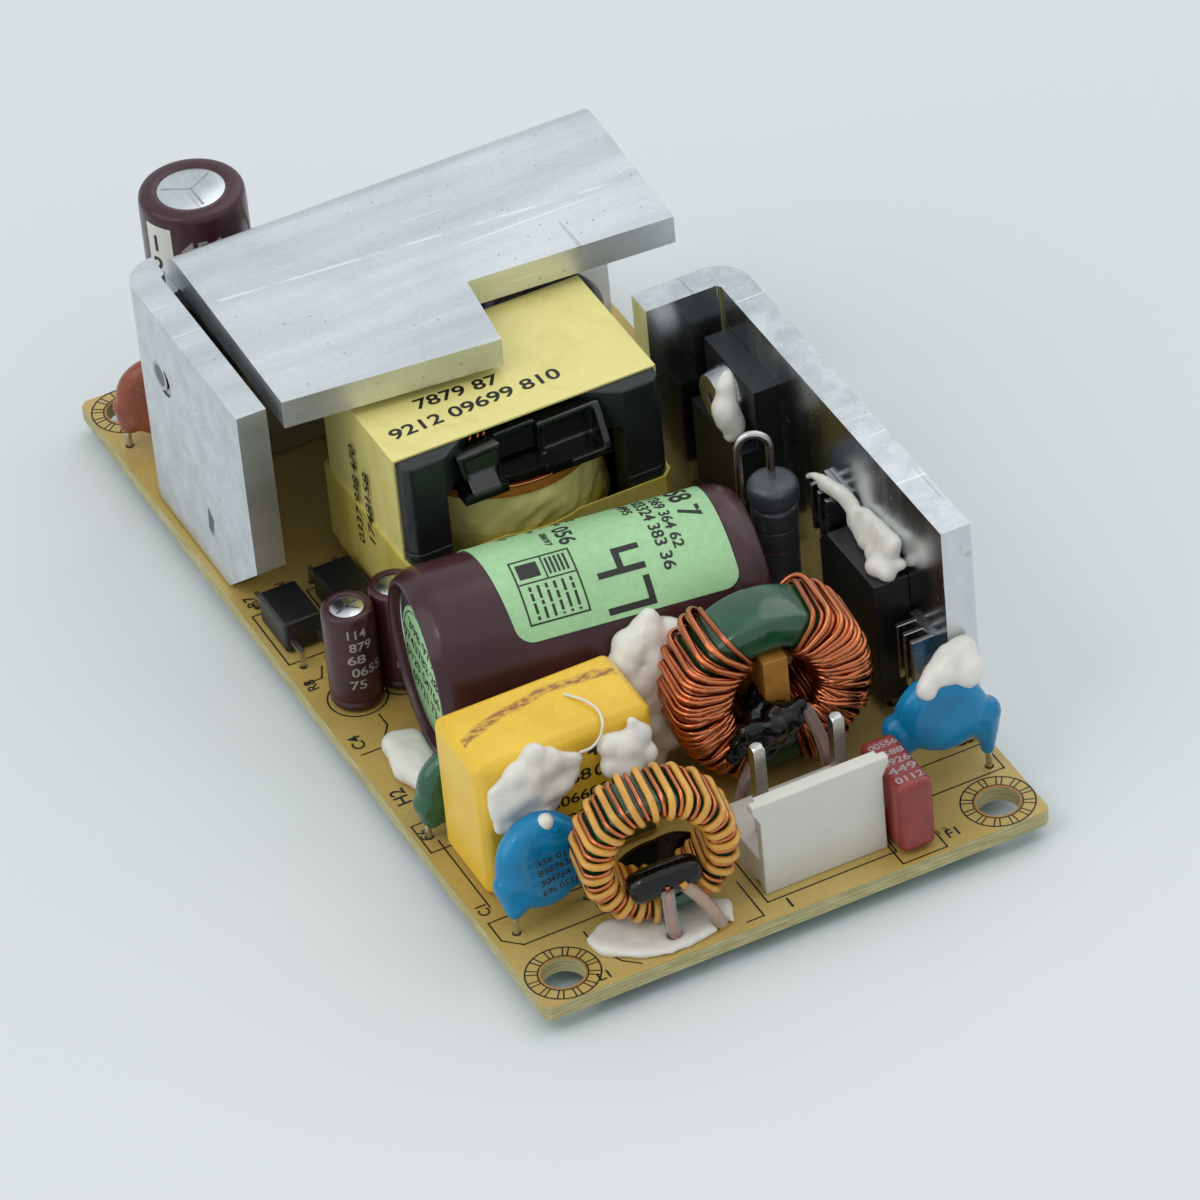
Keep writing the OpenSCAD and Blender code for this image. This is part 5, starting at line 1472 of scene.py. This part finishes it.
def build_big_choke(settings):
    tree = winding_tree()
    core = ring_core(4.8, 8.5, 6.0, 1.0).piece("big_ring", "core_green", BIG_RING, 60)
    kept(core, "green_epoxy", "big_choke_core")
    turns = settings.big_turns
    for side, start, end, way, seed in (("left", 119, 256, 1, 3), ("right", 61, -76, -1, 30)):
        step = (end - start) / turns
        # Turns of each layer, and how many steps it stops short of either end
        spans = ((turns, 0, 0), (turns - 1, 1, 1), (10, 0.5, 7), (8, 8, 1.5))
        layers = []
        for (count, ahead, behind), layer in zip(spans, BIG_LAYERS):
            name, finish_name, section, corner, lean, skew, share, more = layer
            layers.append(wound(
                tree, f"{side}_{name}", finish_name, BIG_RING, count, start + ahead * step,
                end - behind * step, section, wire=0.55, corner=corner, lean=lean * way,
                skew=skew * way, wobble=settings.wobble * share, seed=seed + more))
        kept(joined(f"big_ring_{side}_wire", layers), "copper_wire",
             f"big_choke_{side}_winding")
    softened("big_ring_card", "big_choke_separator", 0.12, "tan_card", "tan_card")
    potting = dipped("big_ring_potting", ["big_choke_epoxy"], 0.18, 5, "potting", rough=0.5,
                     seed=5, extra=Shape().balls(EPOXY_LUMPS))
    kept(potting, "black_epoxy", "big_choke_epoxy")
    tubes = Shape()
    sleeved(tubes, (8.5, -36.75, 11.1), (10.3, -36.95, 2.1), (0.35, -0.3, 0.2))
    sleeved(tubes, (3.3, -36.1, 6.5), (1.6, -36.0, 2.1), (-0.3, -0.2, 0.2))
    kept(tubes.piece("big_ring_leads", ["clear", "copper_wire"], smooth=60), "clear_sleeve",
         "big_choke_sleeves")
    dressed("wound_part_leads", "tinned")


# ---- Connectors, fuse and resistor ----

def build_connectors(settings):
    roll = settings.case_roll / MM
    for end in ("input", "output"):
        softened(f"{end}_header_shell", f"{end}_connector_housing", roll, "nylon", "nylon")
        softened(f"{end}_header_pins", f"{end}_connector_pins", 0.1, "tinned", "tinned_lead")


def build_fuse():
    softened("fuse_case", "fuse", 0.25, "red_case", "red_case", 3)
    ink = Ink(rng=random.Random(2)).rows(*(
        (11.3, y, 2.8, height)
        for y, height in ((-48.9, 0.8), (-47.6, 0.9), (-46.3, 0.8), (-45.0, 0.7), (-43.7, 0.7))))
    top = 9.615
    kept(ink.piece("fuse_print", "white_ink", flat_at(top)), "red_case")


# The resistor's outline: the radius, the height and how far each corner is rounded
RESISTOR_AT = (17.6, -13.8)
RESISTOR = (
    (0, 2.6, 0), (1.4, 2.6, 0.6), (2.36, 3.0, 0.6), (2.4, 5.4, 0.3), (2.0, 5.7, 0.2),
    (2.02, 7.9, 0.1), (1.96, 8.0, 0.05), (2.04, 8.1, 0.1), (2.08, 10.5, 0.15),
    (1.97, 10.62, 0.05), (2.1, 10.75, 0.15), (2.14, 12.8, 0.3), (1.95, 12.92, 0.05),
    (2.2, 13.05, 0.3), (2.24, 15.0, 0.5), (1.9, 15.25, 0.1), (1.92, 15.45, 0.1),
    (2.42, 15.7, 0.7), (2.42, 17.4, 0.8), (1.7, 18.0, 0.7), (0, 18.0, 0),
)


def build_resistor():
    profile = eased([(r, z) for r, z, _ in RESISTOR], [corner for _, _, corner in RESISTOR], 5)
    body = Shape().lathe([tuple(p) for p in profile], 48, 0,
                         Matrix.Translation((*RESISTOR_AT, 0)))
    # Thin rust lines in two of the necks
    for z, r in ((12.92, 2.0), (10.62, 2.02)):
        body.tube([(x, y, z) for x, y in circle(r, 40, RESISTOR_AT)], 0.06, 6, 1, True)
    kept(body.piece("resistor_body", ["grey_lacquer", "rust"], smooth=60), "grey_lacquer",
         "snubber_resistor")
    dressed("snubber_resistor_lead", "tinned")
    dressed("capacitor_leads", "tinned")


# ---- Semiconductors ----

def build_semiconductors(settings):
    roll = settings.case_roll / MM
    for name, node in (("transistor_case", "switching_transistor"),
                       ("bridge_case", "bridge_rectifier"),
                       ("rectifier_case", "output_rectifier"),
                       ("optocoupler_case_left", "optocoupler_left"),
                       ("optocoupler_case_right", "optocoupler_right")):
        softened(name, node, roll, "package", "package_black")
    for name, node in (("transistor_screw_head", "transistor_screw"),
                       ("bridge_clip", "rectifier_clip"),
                       ("rectifier_screw_head", "output_rectifier_screw")):
        softened(name, node, 0.08, "steel", "steel")
    dressed("semiconductor_leads", "tinned")


# ---- Standing capacitors and output choke ----

# Scores of a lid, each with its turn in degrees and its length in shares of the radius
THREE_SCORES = [(30, 0.85), (150, 0.85), (270, 0.85)]
FOUR_SCORES = [(20, 0.8), (200, 0.8), (80, 0.75), (320, 0.75)]


def standing_can(name, node, can, top, scores):
    """Sleeved can with its bare top, scored so that it can open."""
    place, r = can
    base = BOARD_TOP
    matrix = Matrix.Translation((*place, 0))
    edge = 0.3 * r
    # The sleeve: the wall with its groove, the rolled shoulder and the step down to the lid
    profile = eased([
        (0, base), (r - 0.3, base), (r, base + 0.4), (r, base + 0.34 * r),
        (r * 0.925, base + 0.47 * r), (r, base + 0.6 * r), (r, top - edge),
        (r - 0.1, top - 0.15), (r - edge * 0.9, top), (r - edge * 1.25, top - 0.2),
        (r - edge * 1.25, top - 0.45)], 0.35 * edge + 0.2, 4)
    body = Shape().lathe([tuple(p) for p in profile] + [(0, top - 0.45)], 64, 0, matrix)
    kept(body.piece(name, "sleeve", smooth=50), "maroon_sleeve", node)
    lid_r = r - edge * 1.15
    level = top - 0.22
    lid = Shape().lathe([(0, level - 0.2), (lid_r, level - 0.2), (lid_r, level - 0.06),
                         (lid_r - 0.15, level), (0, level)], 64, 0, matrix)
    for turn, length in scores:
        across = matrix @ Matrix.Rotation(math.radians(turn), 4, "Z")
        lid.block((0, -0.11, level - 0.05), (lid_r * length, 0.11, level + 0.025), 1, across)
    kept(lid.piece(f"{name}_lid", ["can_end", "steel"], smooth=30), "can_metal")


def can_wrap(can, from_angle, gap):
    """Maps (arc length round a can from an angle, height) on to its sleeve."""
    (x, y), r = can
    reach = r + gap

    def mapping(u, v):
        a = math.radians(from_angle) + u / r
        return (x + reach * math.cos(a), y + reach * math.sin(a), v)
    return mapping


def can_print(rng, low, high, height):
    """Short rows of figures one above another."""
    ink = Ink(0.8, rng)
    level, n = high - height, 0
    while level > low:
        ink.rows((0.3 * (n % 2), level, height * rng.uniform(1.6, 3.4), height))
        level -= height * 1.55
        n += 1
    return ink


def build_cans():
    standing_can("tall_can", "output_capacitor_tall", TALL_CAN, 26.8, THREE_SCORES)
    standing_can("short_can", "output_capacitor_short", SHORT_CAN, 17.6, THREE_SCORES)
    standing_can("control_can_front", "control_capacitor_front", FRONT_CAN, 12.6, FOUR_SCORES)
    standing_can("control_can_rear", "control_capacitor_rear", REAR_CAN, 12.6, FOUR_SCORES)
    rng = random.Random(17)
    pieces = []
    for n, (can, angle, low, high, height) in enumerate((
            (TALL_CAN, 232, 8.0, 24.0, 1.6), (FRONT_CAN, 236, 3.4, 11.4, 0.95),
            (REAR_CAN, 235, 3.4, 11.4, 0.95), (SHORT_CAN, 100, 4.0, 16.0, 1.4))):
        ink = can_print(rng, low, high, height)
        pieces.append(ink.piece(f"can_marks_{n}", "white_ink", can_wrap(can, angle, 0.03)))
    kept(joined("can_marks", pieces), "can_metal")
    # Pale stripe with a column of figures, on the tall can
    band = Ink(0.6).bar(0, 15.2, 3.0, 25.4)
    figures = Ink()
    for n, words in enumerate(("1", "2", "47", "0")):
        figures.text(words, 0.5, 22.4 - 2.6 * n, 2.6)
    stripe = [band.piece("band", "nylon", can_wrap(TALL_CAN, 188, 0.015)),
              figures.piece("figures", "ink", can_wrap(TALL_CAN, 188, 0.05))]
    kept(joined("tall_can_stripe", stripe), "nylon")
    softened("output_choke_drum", "output_choke", 0.2, "package", "package_black")


# ---- Silicone ----

# Lumps of adhesive, each with its place and its radius
SILICONE_LUMPS = (
    # Between the film capacitor, the bulk capacitor and the large choke
    (-4.4, -26.6, 14.4, 1.6), (-3.2, -26.0, 15.6, 1.7), (-1.4, -25.7, 16.4, 1.7),
    (-1.0, -25.5, 17.8, 0.9), (0.6, -26.0, 15.2, 1.8), (-1.4, -26.4, 13.4, 2.4),
    (-2.8, -26.8, 11.0, 2.4), (-0.6, -27.2, 10.2, 2.2), (0.8, -26.8, 12.6, 2.0),
    (-2.6, -27.4, 8.2, 2.0), (1.6, -27.8, 14.8, 1.2), (-1.2, -27.8, 6.4, 1.8),
    (-3.6, -27.2, 12.8, 1.8), (1.4, -28.2, 11.4, 1.2),
    # On the film capacitor's front
    (-17.6, -35.5, 16.5, 1.0), (-18.2, -35.6, 14.8, 1.5), (-16.4, -35.6, 15.2, 1.4),
    (-15.0, -35.6, 14.4, 0.8), (-14.2, -35.6, 13.2, 0.8), (-20.0, -35.6, 13.2, 1.5),
    (-21.2, -35.6, 13.2, 0.8), (-21.6, -35.6, 11.4, 0.7), (-19.4, -35.6, 11.6, 1.0),
    (-17.4, -35.6, 12.6, 1.5), (-15.6, -35.6, 12.6, 1.4), (-20.6, -35.6, 10.4, 1.1),
    (-19.2, -35.6, 10.8, 1.3), (-18.6, -35.6, 13.4, 1.5), (-19.6, -35.7, 15.0, 1.2),
    (-20.9, -35.7, 12.2, 1.2), (-18.2, -35.9, 10.4, 0.9), (-17.6, -36.6, 10.2, 0.8),
    (-18.0, -37.8, 10.8, 0.9), (-18.6, -38.8, 11.4, 0.8),
    # On the right end of that front, behind the small choke
    (-10.4, -35.8, 14.4, 1.1), (-9.0, -36.2, 13.8, 1.6), (-7.6, -36.0, 14.8, 1.1),
    (-8.0, -35.7, 16.0, 0.6), (-10.8, -36.6, 12.8, 1.0), (-9.4, -37.2, 12.6, 1.2),
    (-7.4, -36.6, 12.8, 1.1),
    # On the line disc
    (18.2, -42.0, 12.6, 0.9), (20.2, -41.9, 13.6, 1.2), (22.0, -42.3, 12.8, 1.1),
    (20.6, -41.8, 14.6, 0.7),
    # On the transistor's screw
    (18.2, -3.6, 21.4, 0.8), (17.6, -4.2, 19.8, 1.0), (17.8, -4.6, 18.2, 1.1),
    (17.9, -5.0, 16.9, 0.8),
    # Smeared over the bridge's top and up the wall
    (20.4, -31.0, 17.5, 0.8), (20.0, -29.6, 17.5, 1.0), (20.6, -28.0, 17.7, 1.0),
    (20.9, -26.2, 17.8, 0.9), (21.2, -24.4, 17.9, 0.8), (21.5, -22.6, 18.2, 0.6),
    (21.6, -29.4, 18.6, 0.6), (21.7, -31.2, 18.0, 0.6), (21.7, -27.0, 19.0, 0.4),
)
# A thread drawn over the film capacitor, and a strand over the bridge
THREAD = ((-11.8, -30.0, 16.9), (-10.7, -32.0, 17.2), (-10.2, -33.8, 17.1),
          (-10.7, -35.6, 17.0), (-11.2, -35.9, 15.9), (-12.2, -36.0, 15.1),
          (-13.4, -36.0, 15.2))
STRAND = ((21.3, -23.4, 18.0), (21.0, -21.6, 19.4), (20.4, -19.4, 20.4),
          (19.9, -17.4, 19.8), (19.9, -16.6, 19.0))


def build_silicone(settings):
    thread = Shape().tube(eased(THREAD, 1.2, 5), 0.13, 10)
    kept(thread.piece("adhesive_thread", "silicone", smooth=80), "silicone")
    more = Shape().balls(SILICONE_LUMPS)
    strand = eased(STRAND, 1.0, 5)
    last = len(strand) - 1
    more.tube(strand, [0.5 - 0.25 * k / last for k in range(last + 1)], 8)
    beads = dipped("adhesive_beads", ["silicone_adhesive"], settings.silicone_voxel / MM, 40,
                   "silicone", rough=0.22, seed=2, extra=more, growth=0.2)
    kept(beads, "silicone", "silicone_adhesive")


# ---- Stage ----

TARGET = (0.0, 0.0, 0.01)
# Disc lamps: the place, the width, the power and the colour, all aimed at the target
LAMPS = {
    "left_lamp": ((-0.85, 0.1, 0.72), 1.1, 3.0, (1.0, 0.99, 0.97)),
    "spark_lamp": ((-0.6, -0.2, 0.95), 0.22, 0.5, (1.0, 1.0, 1.0)),
    "top_lamp": ((0.1, -0.1, 1.2), 1.8, 2.8, (1.0, 1.0, 1.0)),
    "right_lamp": ((0.75, 0.3, 0.85), 1.3, 3.0, (1.0, 1.0, 1.0)),
}
CAMERA_PLACE = (-0.23534, -0.56956, 0.50569)
CAMERA_TURN = (50.530, 4.514, -26.607)


def area_lamp(name, place, size, power, colour):
    lamp = bpy.data.lights.new(name, "AREA")
    lamp.shape, lamp.size, lamp.energy, lamp.color = "DISK", size, power, colour
    holder = linked(name, lamp)
    holder.location = place
    way = Vector(TARGET) - Vector(place)
    holder.rotation_euler = way.to_track_quat("-Z", "Y").to_euler()
    holder.visible_camera = False


class Sky(Graph):
    """The world's nodes."""

    def __init__(self):
        world = bpy.data.worlds.new("studio")
        bpy.context.scene.world = world
        world.use_nodes = True
        self.tree = world.node_tree
        self.tree.nodes.clear()


def build_sky():
    """Cool light on the supply, and a pale backdrop wherever the world itself is seen."""
    sky = Sky()
    path = sky.node("ShaderNodeLightPath")
    seen = Number(sky, path.outputs["Is Camera Ray"])
    for ray in ("Is Transmission Ray", "Is Glossy Ray"):
        seen = seen.at_least(Number(sky, path.outputs[ray]))
    light = sky.node("ShaderNodeBackground", None,
                     {"Color": (0.95, 0.98, 1.0, 1), "Strength": 0.56})
    pale = sky.node("ShaderNodeBackground", None,
                    {"Color": srgb("d8dfe2"), "Strength": 1.0})
    both = sky.node("ShaderNodeMixShader", None,
                    {0: seen, 1: light.outputs[0], 2: pale.outputs[0]})
    sky.node("ShaderNodeOutputWorld", None, {"Surface": both.outputs[0]})


def build_stage():
    scene = bpy.context.scene
    scene.view_settings.view_transform = "Standard"
    floor = Shape().lathe([(0, FLOOR_Z), (FLOOR_RADIUS, FLOOR_Z)], 64)
    ground = floor.piece("studio_floor", "floor", outward=False, flat=True)
    ground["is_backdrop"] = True
    build_sky()
    for name, values in LAMPS.items():
        area_lamp(name, *values)
    view = bpy.data.cameras.new("camera")
    view.lens, view.sensor_width = 256.7, 36
    view.clip_start, view.clip_end = 0.01, 20
    camera = linked("camera", view)
    camera.location = CAMERA_PLACE
    camera.rotation_euler = tuple(math.radians(a) for a in CAMERA_TURN)
    scene.camera = camera


# ---- Add-on ----

class SUPPLY_OT_board(bpy.types.Operator):
    """Dress the circuit board and print its outlines."""
    bl_idname = "supply.board"
    bl_label = "Circuit board"

    def execute(self, context):
        build_board()
        return {"FINISHED"}


class SUPPLY_OT_heatsinks(bpy.types.Operator):
    """Make both heatsinks of brushed sheet with rolled edges, and mark the left wall."""
    bl_idname = "supply.heatsinks"
    bl_label = "Heatsinks"

    def execute(self, context):
        build_heatsinks(context.scene.supply)
        return {"FINISHED"}


class SUPPLY_OT_transformer(bpy.types.Operator):
    """Build the transformer's core, bobbin, winding and tape."""
    bl_idname = "supply.transformer"
    bl_label = "Transformer"

    def execute(self, context):
        build_transformer(context.scene.supply)
        return {"FINISHED"}


class SUPPLY_OT_bulk_capacitor(bpy.types.Operator):
    """Build the lying capacitor with its label."""
    bl_idname = "supply.bulk_capacitor"
    bl_label = "Bulk capacitor"

    def execute(self, context):
        build_bulk()
        return {"FINISHED"}


class SUPPLY_OT_box_capacitor(bpy.types.Operator):
    """Build the yellow film capacitor."""
    bl_idname = "supply.box_capacitor"
    bl_label = "Film capacitor"

    def execute(self, context):
        build_box_capacitor()
        return {"FINISHED"}


class SUPPLY_OT_discs(bpy.types.Operator):
    """Dip the disc capacitors and the thermistor."""
    bl_idname = "supply.discs"
    bl_label = "Disc parts"

    def execute(self, context):
        build_discs()
        return {"FINISHED"}


class SUPPLY_OT_small_choke(bpy.types.Operator):
    """Wind the small ring choke."""
    bl_idname = "supply.small_choke"
    bl_label = "Small choke"

    def execute(self, context):
        build_small_choke(context.scene.supply)
        return {"FINISHED"}


class SUPPLY_OT_big_choke(bpy.types.Operator):
    """Wind the large ring choke."""
    bl_idname = "supply.big_choke"
    bl_label = "Large choke"

    def execute(self, context):
        build_big_choke(context.scene.supply)
        return {"FINISHED"}


class SUPPLY_OT_connectors(bpy.types.Operator):
    """Mould the pin headers."""
    bl_idname = "supply.connectors"
    bl_label = "Connectors"

    def execute(self, context):
        build_connectors(context.scene.supply)
        return {"FINISHED"}


class SUPPLY_OT_fuse(bpy.types.Operator):
    """Mould the fuse."""
    bl_idname = "supply.fuse"
    bl_label = "Fuse"

    def execute(self, context):
        build_fuse()
        return {"FINISHED"}


class SUPPLY_OT_resistor(bpy.types.Operator):
    """Build the standing resistor and dress the round leads."""
    bl_idname = "supply.resistor"
    bl_label = "Resistor and leads"

    def execute(self, context):
        build_resistor()
        return {"FINISHED"}


class SUPPLY_OT_semiconductors(bpy.types.Operator):
    """Mould the semiconductor packages and their hardware."""
    bl_idname = "supply.semiconductors"
    bl_label = "Semiconductors"

    def execute(self, context):
        build_semiconductors(context.scene.supply)
        return {"FINISHED"}


class SUPPLY_OT_cans(bpy.types.Operator):
    """Build the standing capacitors and the output choke."""
    bl_idname = "supply.cans"
    bl_label = "Standing capacitors"

    def execute(self, context):
        build_cans()
        return {"FINISHED"}


class SUPPLY_OT_silicone(bpy.types.Operator):
    """Pour the silicone beads."""
    bl_idname = "supply.silicone"
    bl_label = "Silicone"

    def execute(self, context):
        build_silicone(context.scene.supply)
        return {"FINISHED"}


class SUPPLY_OT_stage(bpy.types.Operator):
    """Set the floor, the lamps and the camera."""
    bl_idname = "supply.stage"
    bl_label = "Stage"

    def execute(self, context):
        build_stage()
        return {"FINISHED"}


OPERATORS = (
    SUPPLY_OT_stage, SUPPLY_OT_board, SUPPLY_OT_heatsinks, SUPPLY_OT_transformer,
    SUPPLY_OT_bulk_capacitor, SUPPLY_OT_box_capacitor, SUPPLY_OT_discs,
    SUPPLY_OT_small_choke, SUPPLY_OT_big_choke, SUPPLY_OT_connectors, SUPPLY_OT_fuse,
    SUPPLY_OT_resistor, SUPPLY_OT_semiconductors, SUPPLY_OT_cans, SUPPLY_OT_silicone,
)


class SUPPLY_PT_panel(bpy.types.Panel):
    """Builds the supply group by group."""
    bl_label = "Power supply"
    bl_idname = "SUPPLY_PT_panel"
    bl_space_type = "VIEW_3D"
    bl_region_type = "UI"
    bl_category = "Power supply"

    def draw(self, context):
        settings = context.scene.supply
        for key in settings.__annotations__:
            self.layout.prop(settings, key)
        for operator in OPERATORS:
            self.layout.operator(operator.bl_idname)


def register():
    for each in (SUPPLY_PG_settings, *OPERATORS, SUPPLY_PT_panel):
        bpy.utils.register_class(each)
    bpy.types.Scene.supply = bpy.props.PointerProperty(type=SUPPLY_PG_settings)


def unregister():
    del bpy.types.Scene.supply
    for each in (SUPPLY_PT_panel, *reversed(OPERATORS), SUPPLY_PG_settings):
        bpy.utils.unregister_class(each)


def main():
    register()
    for operator in OPERATORS:
        group, name = operator.bl_idname.split(".")
        getattr(getattr(bpy.ops, group), name)()
    boxes = [[list(map(float, corner)) for corner in box] for box in (cad_box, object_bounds())]


if __name__ == "__main__":
    main()
